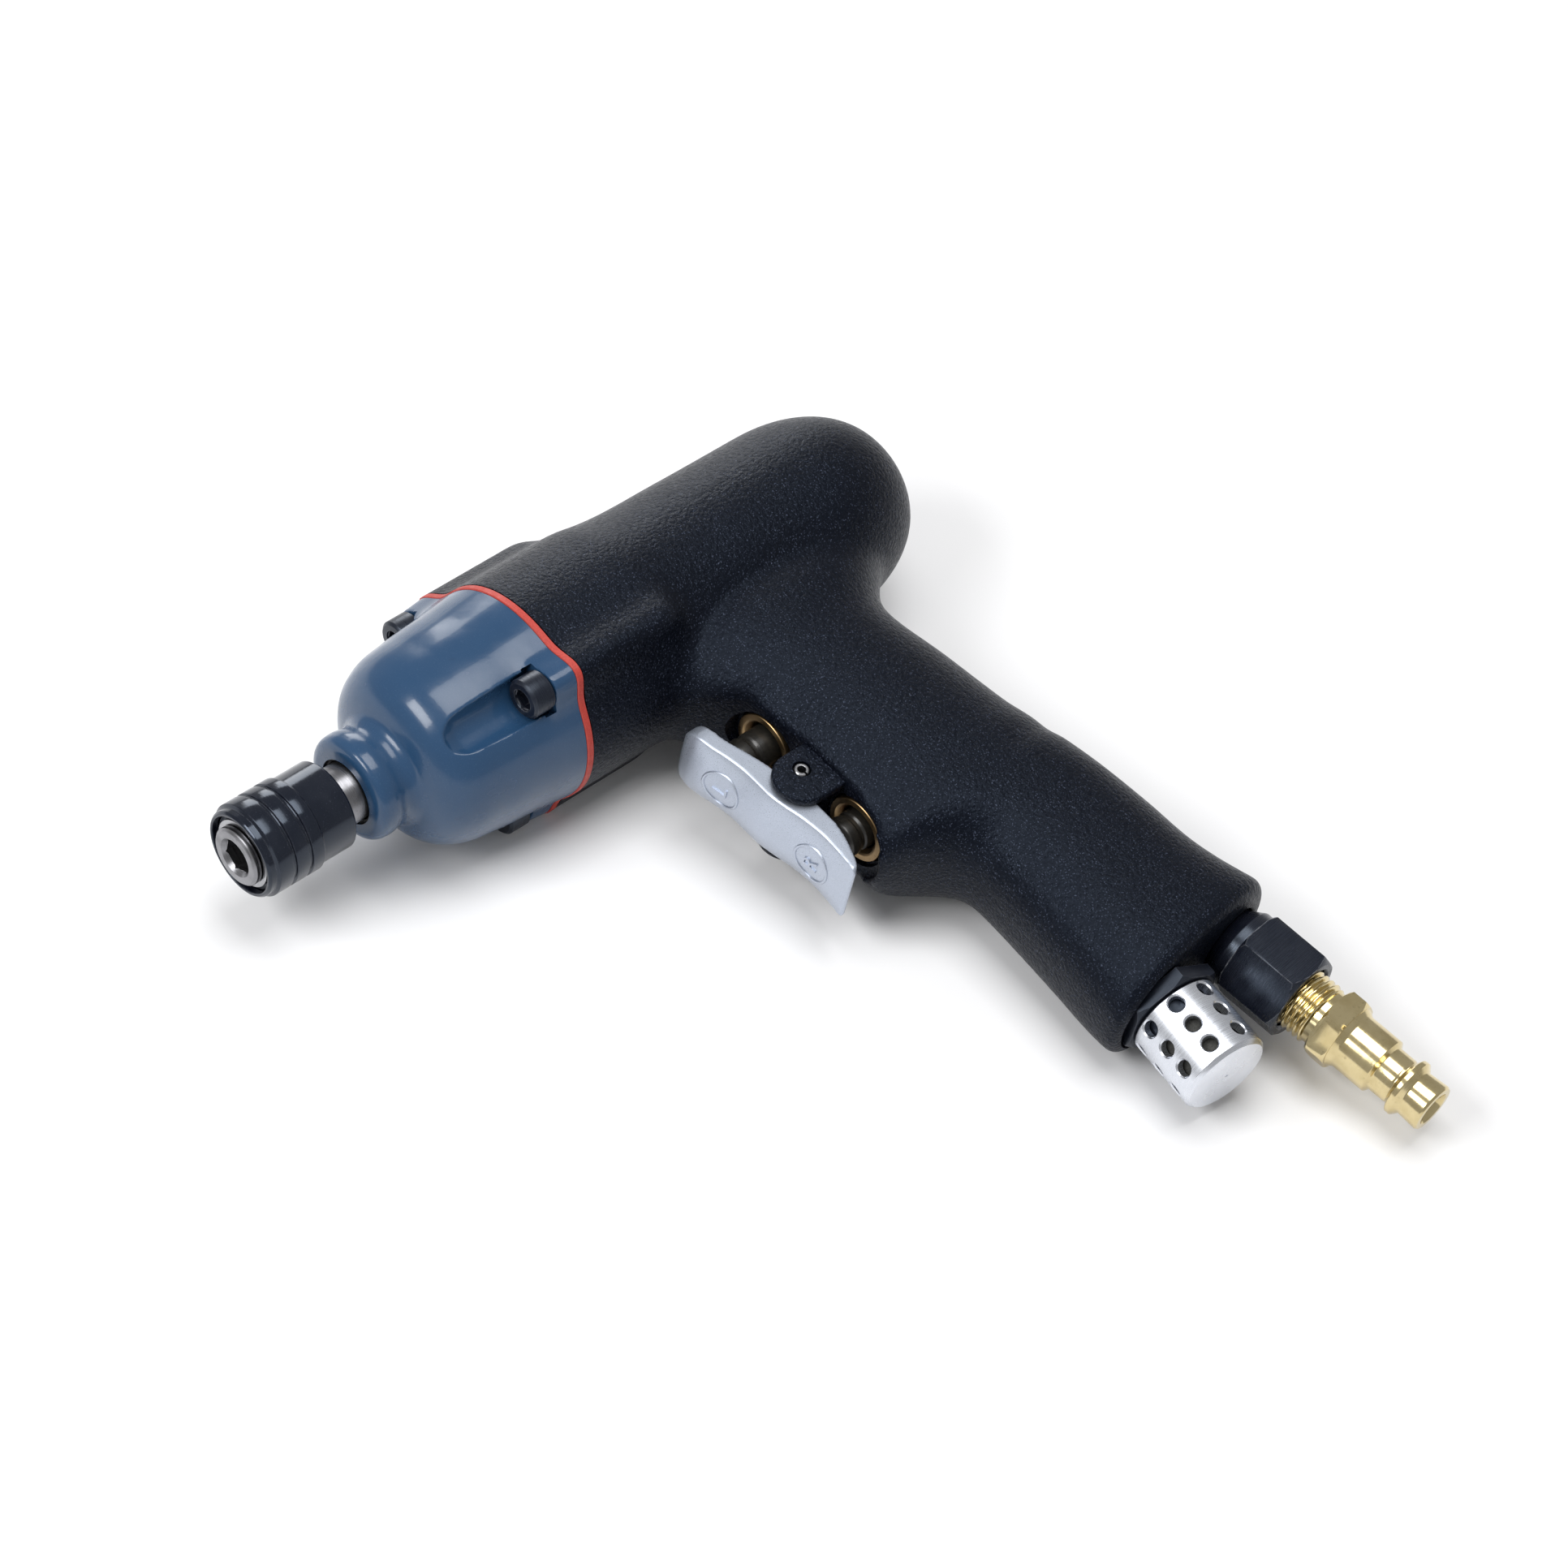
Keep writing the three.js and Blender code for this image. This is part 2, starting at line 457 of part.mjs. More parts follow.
// ---- Trigger: a rocker on a pin that pushes one valve stem or the other ----
function triggerAndValves() {
  const { x, y, pin } = PIVOT;
  const { halfWidth, crown, corner, middle, boss } = TRIGGER;
  // Stations down the trigger: place, front, back.
  const stations = [
    [28.7, 65.1, 66.1], [29.4, 64.3, 66.6], [31.6, 63.8, 66.9], [35, 64.2, 67.4], [40, 65.4, 69.1],
    [45, 66, 70.5], [50, 66, 71.3], [54, 66.6, 71.9], [59, 67.7, 72.2], [64, 68.2, 71.9], [69, 67.9, 70.4],
    [72.6, 67.4, 68.6], [73.4, 67.2, 67.9],
  ].map((p) => new THREE.Vector3(...p));
  const reach = stations.at(-1).x - middle;
  // A section of the trigger. Its front bulges in the middle, and it narrows at the two ends.
  const section = ({ x: place, y: front, z: back }) => {
    const share = Math.min(1, Math.abs(place - middle) / reach);
    const past = Math.max(0, share * reach - reach + corner) / corner;
    const half = halfWidth - corner * (1 - Math.sqrt(1 - past ** 2));
    const bulge = (across) => crown * (1 - share ** 6) * (1 - Math.abs(across) ** 2.4);
    const across = [-1, -0.94, -0.8, -0.5, 0, 0.5, 0.8, 0.94, 1];
    return [
      ...across.map((u) => new THREE.Vector3(place, front - bulge(u), u * half)),
      ...[1, 0.5, 0, -0.5, -1].map((u) => new THREE.Vector3(place, back, u * half)),
    ];
  };
  const rocker = loft(new THREE.CatmullRomCurve3(stations).getPoints(28).map(section));
  const pivotBoss = placed(disc(boss, -halfWidth, halfWidth), { at: [x, y, 0], turn: [90, 0, 0] });
  const hole = solidOf(new THREE.CylinderGeometry(pin + GAP, pin + GAP, 30, 20)
    .rotateX(Math.PI / 2).translate(x, y, 0));
  add("trigger", without(union(rocker, pivotBoss), hole), satinSilver);

  const rollPin = without(disc(pin, -9.7, 9.7, 20), disc(0.8, -12, 12, 12), block(1.2, 30, 0.5, [1.2, 0, 0]));
  add("trigger_pin", placed(rollPin, { at: [x, y, 0], turn: [90, 0, 0] }), springSteel);

  VALVES.forEach(({ side, x: at, face, tip }) => {
    const { ring: outer, stem } = VALVE;
    const bushing = turned([
      [4.6, face], [outer, face], [outer, 88.6], [4.6, 88.6],
    ], INNER);
    add(`valve_bushing_${side}`, placed(bushing, { at: [at, 0, 0] }), bronze);
    const rod = turned([
      [0, tip], [1.5, tip + 0.25], [3, tip + 1.2], [stem, tip + 2.4], [stem, 86], [2.2, 86.5],
      [2.2, 94.5], [4.4, 95.5], [4.4, 98.8], [0, 98.8],
    ], INNER);
    add(`valve_stem_${side}`, placed(rod, { at: [at, 0, 0] }), rubber);
    add(`valve_spring_${side}`, placed(coil(3.6, 0.4, 99.2, 108.2, 4), { at: [at, 0, 0] }), springSteel);
  });
}

// ---- Air fittings at the foot of the grip ----
function airFittings() {
  const collar = turned([[0, -6], [6.6, -6], [6.6, -0.5], [8.3, 2.4], [8.3, 5], [0, 5]]);
  const hex = prism(6, 17, 4.4, 18.2).intersect(turned([
    [0, 4], [8.6, 4], [9.9, 5.2], [9.9, 17.3], [8.6, 18.2], [0, 18.2],
  ]));
  const thread = turned([[0, -7], [4.6, -7], [4.6, 6], [6.9, 6.5], [6.9, 19], [0, 19]], INNER);
  add("inlet_bushing", onAxisFrom(INLET, without(union(collar, hex), thread)), blackSteel);
  const screen = turned([[3.6, -5.5], [4.3, -5.5], [4.3, 5.6], [0, 5.6], [0, 5], [3.6, 5]].reverse(), INNER);
  add("inlet_screen", onAxisFrom(INLET, screen), brass);

  const plugProfile = turned([
    [0, 8], [6.5, 8], [6.5, 23.8], [5.9, 24.1], [5.9, 24.9], [6.9, 25], [6.9, 29.4], [5.95, 30.8],
    [5.95, 38.2], [4.9, 38.9], [4.9, 42.5], [4.75, 43.1], [6.1, 44], [6.1, 45], [4.8, 46.1],
    [5.1, 50.4], [4.8, 50.9], [0, 50.9],
  ]);
  const nut = prism(6, 14, 24.9, 29.6).intersect(turned([
    [0, 24], [7.2, 24.9], [8.1, 25.7], [8.1, 28.7], [7.2, 29.6], [0, 30],
  ]));
  const airWay = disc(3.1, 0, 60, 24);
  add("air_plug", onAxisFrom(INLET, without(union(plugProfile, nut), airWay)), brass);

  const seatHex = placed(prism(6, 19, -0.6, 2.4), { turn: [0, 30, 0] });
  const seat = without(union(seatHex, disc(7.2, -6.5, 0), disc(7, 2, 6.5)), disc(5, -8, 8, INNER));
  add("muffler_seat", onAxisFrom(EXHAUST, seat), blackSteel);
  const cup = turned([
    [7.4, 2.7], [9.25, 2.7], [9.25, 18], [8.5, 19], [0, 19], [0, 17.3], [7.4, 17.3],
  ].reverse());
  const ventHole = placed(disc(1.7, 5, 11, 6), { turn: [0, 0, -90] });
  const vents = [4.9, 10, 15.1].flatMap((height) =>
    around(8, (turn) => placed(placed(ventHole, { turn: [0, turn + 22.5, 0] }), { at: [0, height, 0] })));
  add("muffler_cap", onAxisFrom(EXHAUST, without(cup, ...vents)), aluminium);
  add("muffler_felt", onAxisFrom(EXHAUST, disc(7, 6.9, 16.4, INNER)), felt);
}

bitHolder();
hammerCase();
hammerMechanism();
airMotor();
motorHousing();
triggerAndValves();
airFittings();

tool.position.set(REST.x, REST.y, REST.z);
tool.rotation.y = THREE.MathUtils.degToRad(ROLL);
const group = new THREE.Group();
group.add(tool);
export default group;
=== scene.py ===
"""A pistol-grip pneumatic impact wrench lying on its right side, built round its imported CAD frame.

Shapes are drawn in the tool's own frame, in millimetres, and moved into the row frame at the end.
Y is the drive axis, with the bit end towards -Y. X runs down the grip. Z = 0 is the middle plane.
"""
import json
import math

import bmesh
import bpy
import numpy as np
from mathutils import Matrix, Vector, noise


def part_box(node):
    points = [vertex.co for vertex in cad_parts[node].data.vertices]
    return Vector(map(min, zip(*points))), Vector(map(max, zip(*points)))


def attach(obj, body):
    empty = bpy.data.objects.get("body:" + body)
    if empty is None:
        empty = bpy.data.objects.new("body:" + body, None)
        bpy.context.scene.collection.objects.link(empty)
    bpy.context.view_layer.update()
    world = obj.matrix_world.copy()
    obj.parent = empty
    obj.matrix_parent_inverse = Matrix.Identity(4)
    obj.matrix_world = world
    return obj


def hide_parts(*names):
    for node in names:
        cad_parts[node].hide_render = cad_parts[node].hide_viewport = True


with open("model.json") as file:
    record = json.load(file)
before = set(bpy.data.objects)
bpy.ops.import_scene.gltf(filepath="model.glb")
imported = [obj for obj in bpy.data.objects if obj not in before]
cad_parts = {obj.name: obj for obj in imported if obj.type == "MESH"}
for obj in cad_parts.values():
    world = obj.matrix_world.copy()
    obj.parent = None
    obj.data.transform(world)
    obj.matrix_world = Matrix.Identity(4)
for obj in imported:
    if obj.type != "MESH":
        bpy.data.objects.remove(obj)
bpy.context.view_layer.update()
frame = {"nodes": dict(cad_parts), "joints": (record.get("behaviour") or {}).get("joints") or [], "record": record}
RECORD = frame["record"]
JOINTS = {joint["name"]: joint for joint in frame["joints"]}

# ---- The tool's frame, from the record's joints and the sleeve's rear edge ----
MM = 0.001
UP = Vector(JOINTS["trigger_rock"]["axis"]).normalized()
ALONG = Vector((0, 1, 0))
ACROSS = ALONG.cross(UP)
DRIVE = Vector(JOINTS["rotor_spin"]["pos_m"])
ORIGIN = Vector((DRIVE.x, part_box("chuck_sleeve")[1].y, DRIVE.z))
TOOL = Matrix.Translation(ORIGIN) @ Matrix((ACROSS * MM, ALONG * MM, UP * MM)).transposed().to_4x4()


def measured(node):
    """Lowest and highest corner of a CAD node in the tool's frame, in millimetres."""
    into = np.array(TOOL.inverted())
    points = np.array([v.co[:] for v in frame["nodes"][node].data.vertices])
    points = points @ into[:3, :3].T + into[:3, 3]
    return points.min(0), points.max(0)


# ---- Driving dimensions, in millimetres ----
CASE_FRONT, CASE_REAR = measured("hammer_case")[0][1], measured("hammer_case")[1][1]
GASKET_FRONT, GASKET_REAR = measured("case_gasket")[0][1], measured("case_gasket")[1][1]
HOUSING_FRONT = measured("motor_housing")[0][1]
PIVOT = (TOOL.inverted() @ Vector(JOINTS["trigger_rock"]["pos_m"]))[:2]
PIN_RADIUS = 1.6
TRIGGER_HALF_WIDTH = measured("trigger")[1][2]
VALVE_X = [sum(measured(f"valve_bushing_{side}")[i][0] for i in (0, 1)) / 2 for side in ("left", "right")]
VALVE_FACE = [measured(f"valve_bushing_{side}")[0][1] for side in ("left", "right")]
SCREW_SEAT, SCREW_HEAD, SCREW_HEAD_RADIUS = 40.5, 5.0, 4.1
# Screw bosses round the drive axis: degrees, radius of the screw circle, lobe height, spread in degrees.
BOSSES = ((57, 21.8, 3.93, 10), (180, 22.6, 5.0, 12), (303, 21.8, 3.93, 10))
SCREW_SHANK, SCREW_HOLE = 2.4, 2.7
EAR_AT, EAR_RADIUS = (51.8, 72.9), 5.9
EAR_INNER, EAR_OUTER = 7.95, 9.8
INLET = {"x": 124.0, "y": 121.3, "tilt": 4.8}
EXHAUST = {"x": 127.0, "y": 100.3, "tilt": -5.9}
ROUND = 96


# ---- Mesh work ----
def made(name, vertices, faces):
    mesh = bpy.data.meshes.new(name)
    mesh.from_pydata([tuple(v) for v in vertices], [], [tuple(f) for f in faces])
    body = bmesh.new()
    body.from_mesh(mesh)
    bmesh.ops.recalc_face_normals(body, faces=body.faces)
    body.to_mesh(mesh)
    body.free()
    piece = bpy.data.objects.new(name, mesh)
    bpy.context.scene.collection.objects.link(piece)
    return piece


def settled(piece):
    """Turns the piece's modifiers into its mesh."""
    graph = bpy.context.evaluated_depsgraph_get()
    graph.update()
    old = piece.data
    mesh = bpy.data.meshes.new_from_object(piece.evaluated_get(graph))
    piece.modifiers.clear()
    piece.data = mesh
    bpy.data.meshes.remove(old)
    return piece


def modified(piece, kind, group=None, **settings):
    modifier = piece.modifiers.new(kind.lower(), kind)
    for key, value in settings.items():
        setattr(modifier, key, value)
    if group:
        modifier.vertex_group = group
    return settled(piece)


def combined(piece, others, operation="DIFFERENCE"):
    """Cuts, joins or crosses the piece with each of the others, which are used up."""
    for other in others:
        modified(piece, "BOOLEAN", object=other, operation=operation, solver="MANIFOLD")
        bpy.data.objects.remove(other)
    return piece


def rounded(points, fillet, closed, steps=3):
    """A polyline of (radius, y) points with a fillet at each corner; a third number is its own fillet."""
    out = []
    for i, point in enumerate(points):
        here = np.array(point[:2], float)
        size = point[2] if len(point) > 2 else fillet
        if size <= 0 or (not closed and i in (0, len(points) - 1)):
            out.append(here)
            continue
        before = np.array(points[i - 1][:2]) - here
        after = np.array(points[(i + 1) % len(points)][:2]) - here
        reach_before, reach_after = np.linalg.norm(before), np.linalg.norm(after)
        before, after = before / reach_before, after / reach_after
        half = math.acos(np.clip(before @ after, -1, 1)) / 2
        if half > 1.5 or half < 0.05:
            out.append(here)
            continue
        cut = min(size / math.tan(half), 0.45 * reach_before, 0.45 * reach_after)
        for t in np.linspace(0, 1, steps + 1):
            start, end = here + before * cut, here + after * cut
            out.append((1 - t) ** 2 * start + 2 * t * (1 - t) * here + t * t * end)
    return out


def skinned(name, rings, closed_ends=True, closed_loop=False):
    """A skin through rings of points with equal counts; closed_loop joins the last ring to the first."""
    count = len(rings[0])
    vertices = [p for ring in rings for p in ring]
    faces = []
    spans = len(rings) if closed_loop else len(rings) - 1
    for i in range(spans):
        below, above = i * count, ((i + 1) % len(rings)) * count
        faces += [
            (below + j, below + (j + 1) % count, above + (j + 1) % count, above + j) for j in range(count)
        ]
    if closed_ends and not closed_loop:
        last = (len(rings) - 1) * count
        faces += [range(count)[::-1], range(last, last + count)]
    return made(name, vertices, faces)


def lathe(name, profile, fillet=0.15, segments=ROUND, shape=None):
    """A body turned about Y from (radius, y) points. shape(angle, radius, y) may change the radius."""
    on_axis = profile[0][0] == 0
    points = rounded(profile, fillet, closed=not on_axis)
    if on_axis:
        points = [p for p in points if p[0] > 1e-6]
        points = [(max(r, 1e-3), y) for r, y in points]
    turns = [2 * math.pi * i / segments for i in range(segments)]
    rings = []
    for radius, y in points:
        radii = [shape(turn, radius, y) if shape else radius for turn in turns]
        rings.append([(r * math.cos(turn), y, r * math.sin(turn)) for r, turn in zip(radii, turns)])
    return skinned(name, rings, closed_loop=not on_axis)


def rod(radius, low, high, at=(0, 0, 0), turn=(0, 0, 0), segments=64, flare=0):
    """A plain cutter along Y. flare widens its far end, which leaves a chamfer round the hole."""
    profile = [(0, low), (radius, low), (radius, high), (0, high)]
    if flare:
        profile = [
            (0, low), (radius, low), (radius, high - flare), (radius + flare, high),
            (radius + flare, high + 3), (0, high + 3),
        ]
    return placed(lathe("cutter", profile, 0, segments), at, turn)


def placed(piece, at=(0, 0, 0), turn=(0, 0, 0)):
    rotation = Matrix.Rotation(math.radians(turn[2]), 4, "Z") @ Matrix.Rotation(
        math.radians(turn[1]), 4, "Y") @ Matrix.Rotation(math.radians(turn[0]), 4, "X")
    piece.data.transform(Matrix.Translation(at) @ rotation)
    return piece


def fitted(piece, axis):
    """Moves a fitting drawn along Y onto the inlet's or the exhaust's axis."""
    return placed(piece, (axis["x"], axis["y"], 0), (0, 0, axis["tilt"] - 90))


def prism(across_flats, low, high, turn=30, sides=6):
    corner = across_flats / 2 / math.cos(math.pi / sides)
    angles = [math.radians(turn + 360 / sides * i) for i in range(sides)]
    outline = [(corner * math.cos(a), corner * math.sin(a)) for a in angles]
    return skinned("prism", [[(x, y, z) for x, z in outline] for y in (low, high)])


def box(size, centre):
    x, y, z = (s / 2 for s in size)
    outline = [(-x, -z), (x, -z), (x, z), (-x, z)]
    rings = [[(centre[0] + a, centre[1] + b, centre[2] + c) for a, c in outline] for b in (-y, y)]
    return skinned("box", rings)


def plate(name, outline, low, high):
    """An outline in the XY plane given a thickness along Z."""
    return skinned(name, [[(x, y, z) for x, y in outline] for z in (low, high)])


def bevelled(piece, width, segments=3, angle=30):
    return modified(piece, "BEVEL", width=width, segments=segments, limit_method="ANGLE",
                    angle_limit=math.radians(angle), use_clamp_overlap=True, harden_normals=False)


def cast(piece, voxel, passes, soft=None):
    """One skin over everything in the piece with soft edges, as a casting has. soft(point) adds passes."""
    modified(piece, "REMESH", mode="VOXEL", voxel_size=voxel)
    modified(piece, "SMOOTH", factor=0.5, iterations=passes)
    if soft:
        group = piece.vertex_groups.new(name="soft")
        for vertex in piece.data.vertices:
            weight = soft(vertex.co)
            if weight > 0:
                group.add([vertex.index], weight, "REPLACE")
        modified(piece, "SMOOTH", group="soft", factor=0.5, iterations=60)
        piece.vertex_groups.clear()
    return piece


def joined(piece, others):
    """Puts the others' meshes into the piece without joining the surfaces."""
    body = bmesh.new()
    body.from_mesh(piece.data)
    for other in others:
        body.from_mesh(other.data)
        bpy.data.objects.remove(other)
    body.to_mesh(piece.data)
    body.free()
    return piece


def through(stations, at):
    """A smooth row of values through stations, each (place, value, value, ...)."""
    table = np.array(stations, float)
    places, values = table[:, 0], table[:, 1:]
    slopes = np.gradient(values, places, axis=0)
    steps = np.diff(values, axis=0) / np.diff(places)[:, None]
    flat = np.zeros(values.shape, bool)
    flat[1:-1] = steps[:-1] * steps[1:] <= 0
    slopes[flat] = 0
    i = int(np.clip(np.searchsorted(places, at) - 1, 0, len(places) - 2))
    width = places[i + 1] - places[i]
    t = (at - places[i]) / width
    return (
        (2 * t**3 - 3 * t**2 + 1) * values[i] + (t**3 - 2 * t**2 + t) * width * slopes[i]
        + (3 * t**2 - 2 * t**3) * values[i + 1] + (t**3 - t**2) * width * slopes[i + 1]
    )


def finished(piece, material, body, *nodes, sharp=35, slot=None):
    """Gives a piece its place in the row frame, its shading, its material and the CAD body it rides on."""
    piece.data.transform(TOOL)
    piece.data.shade_smooth()
    piece.data.set_sharp_from_angle(angle=math.radians(sharp))
    piece.data.materials.clear()
    piece.data.materials.append(material)
    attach(piece, body)
    if nodes:
        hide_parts(*nodes)
    return piece


# ---- Materials: one node tree each, in millimetres of the object's own space ----
class Finish:
    """A Principled material with helpers for its detail."""

    def __init__(self, name, color, roughness, metallic=0.0, **sockets):
        self.material = bpy.data.materials.new(name)
        self.material.use_nodes = True
        self.tree = self.material.node_tree
        self.shader = self.tree.nodes["Principled BSDF"]
        self.color = (*color, 1)
        self.shader.inputs["Base Color"].default_value = self.color
        self.shader.inputs["Roughness"].default_value = roughness
        self.shader.inputs["Metallic"].default_value = metallic
        for socket, value in sockets.items():
            self.shader.inputs[socket.replace("_", " ")].default_value = value
        self.place = self.node("ShaderNodeTexCoord").outputs["Object"]
        self.relief = None

    def node(self, kind, **settings):
        node = self.tree.nodes.new(kind)
        for key, value in settings.items():
            setattr(node, key, value)
        return node

    def link(self, source, target):
        self.tree.links.new(source, target)

    def noise(self, size, detail=3.0, stretch=(1, 1, 1), tilt=0.0):
        """Noise with features about size millimetres across, stretched along the tool's axes."""
        turn = self.node("ShaderNodeMapping", vector_type="TEXTURE")
        turn.inputs["Rotation"].default_value = (0, TOOL.to_euler().y, math.radians(tilt))
        turn.inputs["Scale"].default_value = [size * MM * s for s in stretch]
        texture = self.node("ShaderNodeTexNoise")
        texture.inputs["Scale"].default_value = 1
        texture.inputs["Detail"].default_value = detail
        self.link(self.place, turn.inputs["Vector"])
        self.link(turn.outputs["Vector"], texture.inputs["Vector"])
        return texture.outputs["Fac"]

    def spread(self, value, low, high, to_low=0.0, to_high=1.0):
        node = self.node("ShaderNodeMapRange")
        limits = (("From Min", low), ("From Max", high), ("To Min", to_low), ("To Max", to_high))
        for socket, number in limits:
            node.inputs[socket].default_value = number
        self.link(value, node.inputs["Value"])
        return node.outputs["Result"]

    def product(self, a, b):
        node = self.node("ShaderNodeMath", operation="MULTIPLY")
        self.link(a, node.inputs[0])
        self.link(b, node.inputs[1])
        return node.outputs[0]

    def tint(self, factor, color):
        """Mixes another colour over what is there, by factor."""
        mix = self.node("ShaderNodeMix", data_type="RGBA")
        self.link(factor, mix.inputs["Factor"])
        base = self.shader.inputs["Base Color"]
        if base.links:
            self.link(base.links[0].from_socket, mix.inputs["A"])
        else:
            mix.inputs["A"].default_value = self.color
        mix.inputs["B"].default_value = (*color, 1)
        self.link(mix.outputs["Result"], base)

    def vary(self, socket, value):
        self.link(value, self.shader.inputs[socket])

    def bump(self, height, depth, strength=1.0):
        """Relief of depth millimetres from a height between 0 and 1."""
        node = self.node("ShaderNodeBump")
        node.inputs["Distance"].default_value = depth * MM
        node.inputs["Strength"].default_value = strength
        self.link(height, node.inputs["Height"])
        if self.relief:
            self.link(self.relief, node.inputs["Normal"])
        self.relief = node.outputs["Normal"]
        self.link(self.relief, self.shader.inputs["Normal"])

    def edges(self, radius):
        """A mask that is 1 along edges, radius millimetres wide."""
        bevel = self.node("ShaderNodeBevel", samples=6)
        bevel.inputs["Radius"].default_value = radius * MM
        plain = self.node("ShaderNodeNewGeometry")
        dot = self.node("ShaderNodeVectorMath", operation="DOT_PRODUCT")
        self.link(bevel.outputs["Normal"], dot.inputs[0])
        self.link(plain.outputs["Normal"], dot.inputs[1])
        return self.spread(dot.outputs["Value"], 0.99, 0.86)


def powder_coat():
    finish = Finish("textured_black_coat", (0.0017, 0.0023, 0.005), 0.36, Specular_IOR_Level=0.16,
                    Specular_Tint=(0.62, 0.76, 1, 1))
    grain = finish.noise(0.8, 4)
    fine = finish.noise(0.22, 2)
    cloud = finish.noise(14, 3)
    # Light bluish flecks are painted glints: lighter spots in the colour that stand in for highlights on the
    # coat's grain.
    painted_glint_fleck = finish.spread(finish.noise(0.3, 1), 0.64, 0.70)
    finish.tint(finish.spread(cloud, 0.35, 0.7, 0, 0.5), (0.003, 0.004, 0.008))
    finish.tint(finish.spread(painted_glint_fleck, 0, 1, 0, 0.6), (0.075, 0.09, 0.135))
    finish.vary("Roughness", finish.spread(grain, 0.3, 0.7, 0.26, 0.46))
    finish.bump(grain, 0.3, 1)
    finish.bump(fine, 0.06, 0.8)
    return finish.material


def gloss_paint():
    finish = Finish("slate_blue_paint", (0.017, 0.053, 0.118), 0.24, Specular_IOR_Level=0.35,
                    Coat_Weight=0.25, Coat_Roughness=0.07)
    finish.tint(finish.spread(finish.noise(11, 3), 0.35, 0.7, 0, 0.4), (0.022, 0.062, 0.132))
    finish.tint(finish.spread(finish.noise(0.25, 2), 0.6, 0.75, 0, 0.25), (0.075, 0.13, 0.22))
    finish.tint(finish.spread(finish.noise(4, 5), 0.68, 0.76, 0, 0.25), (0.012, 0.03, 0.07))
    finish.vary("Roughness", finish.spread(finish.noise(6, 4), 0.3, 0.7, 0.16, 0.3))
    finish.bump(finish.noise(1.6, 3), 0.035, 0.5)
    finish.bump(finish.noise(7, 2), 0.12, 0.4)
    return finish.material


def oxide_steel(name="black_oxide_steel", rough=(0.24, 0.42), wear=0.5, tilt=0.0, stretch=(8, 0.25, 8)):
    finish = Finish(name, (0.0045, 0.0055, 0.0105), 0.3, Specular_IOR_Level=0.5,
                    Specular_Tint=(0.7, 0.82, 1, 1))
    turning = finish.noise(0.5, 2, stretch, tilt)
    finish.tint(finish.spread(finish.noise(5, 4), 0.45, 0.75, 0, 0.6), (0.013, 0.0145, 0.021))
    finish.tint(finish.spread(finish.noise(0.4, 3), 0.64, 0.74, 0, 0.35), (0.05, 0.055, 0.075))
    finish.vary("Roughness", finish.spread(turning, 0.3, 0.7, *rough))
    finish.bump(turning, 0.012, 0.5)
    if wear:
        rub = finish.product(finish.edges(0.35), finish.spread(finish.noise(1.4, 4), 0.36, 0.6))
        finish.tint(finish.spread(rub, 0, 1, 0, wear), (0.34, 0.35, 0.38))
    return finish.material


def turned_metal(name, color, shade, roughness, tilt=0.0, stretch=(14, 0.2, 14), metallic=1.0, relief=0.01):
    """Bare metal with fine turning marks round its axis and patches of darker oxide."""
    finish = Finish(name, color, roughness, metallic)
    marks = finish.noise(0.5, 3, stretch, tilt)
    finish.tint(finish.spread(finish.noise(4, 4), 0.42, 0.75, 0, 0.65), shade)
    finish.tint(finish.spread(finish.noise(0.9, 5), 0.62, 0.75, 0, 0.35), [c * 0.45 for c in shade])
    finish.vary("Roughness", finish.spread(marks, 0.25, 0.75, roughness * 0.7, roughness * 1.45))
    finish.bump(marks, relief, 0.5)
    return finish.material


def pearl_silver():
    finish = Finish("satin_silver_paint", (0.42, 0.465, 0.55), 0.3, 0.72,
                    Coat_Weight=0.35, Coat_Roughness=0.18)
    flake = finish.noise(0.18, 2)
    finish.tint(finish.spread(flake, 0.42, 0.68, 0, 0.55), (0.58, 0.62, 0.71))
    finish.tint(finish.spread(finish.noise(9, 3), 0.4, 0.75, 0, 0.3), (0.40, 0.44, 0.5))
    finish.vary("Roughness", finish.spread(flake, 0.3, 0.7, 0.26, 0.46))
    finish.bump(flake, 0.02, 0.45)
    finish.bump(finish.noise(3.5, 3), 0.05, 0.3)
    return finish.material


def satin_aluminium():
    finish = Finish("satin_aluminium", (0.74, 0.765, 0.82), 0.3, 1.0)
    marks = finish.noise(0.4, 3, (0.22, 12, 12), EXHAUST["tilt"])
    finish.tint(finish.spread(finish.noise(6, 4), 0.4, 0.75, 0, 0.35), (0.58, 0.60, 0.66))
    finish.vary("Roughness", finish.spread(marks, 0.25, 0.75, 0.2, 0.4))
    finish.bump(marks, 0.008, 0.5)
    finish.bump(finish.noise(0.3, 2), 0.006, 0.5)
    return finish.material


def dull(name, color, second, roughness, grain_size, depth, metallic=0.0):
    """A matt or semi-matt non-metal with a grain."""
    finish = Finish(name, color, roughness, metallic)
    grain = finish.noise(grain_size, 4)
    finish.tint(finish.spread(grain, 0.4, 0.7, 0, 0.7), second)
    cloud = finish.noise(grain_size * 5, 3)
    finish.vary("Roughness", finish.spread(cloud, 0.3, 0.7, roughness * 0.8, min(1, roughness * 1.2)))
    finish.bump(grain, depth, 0.6)
    return finish.material


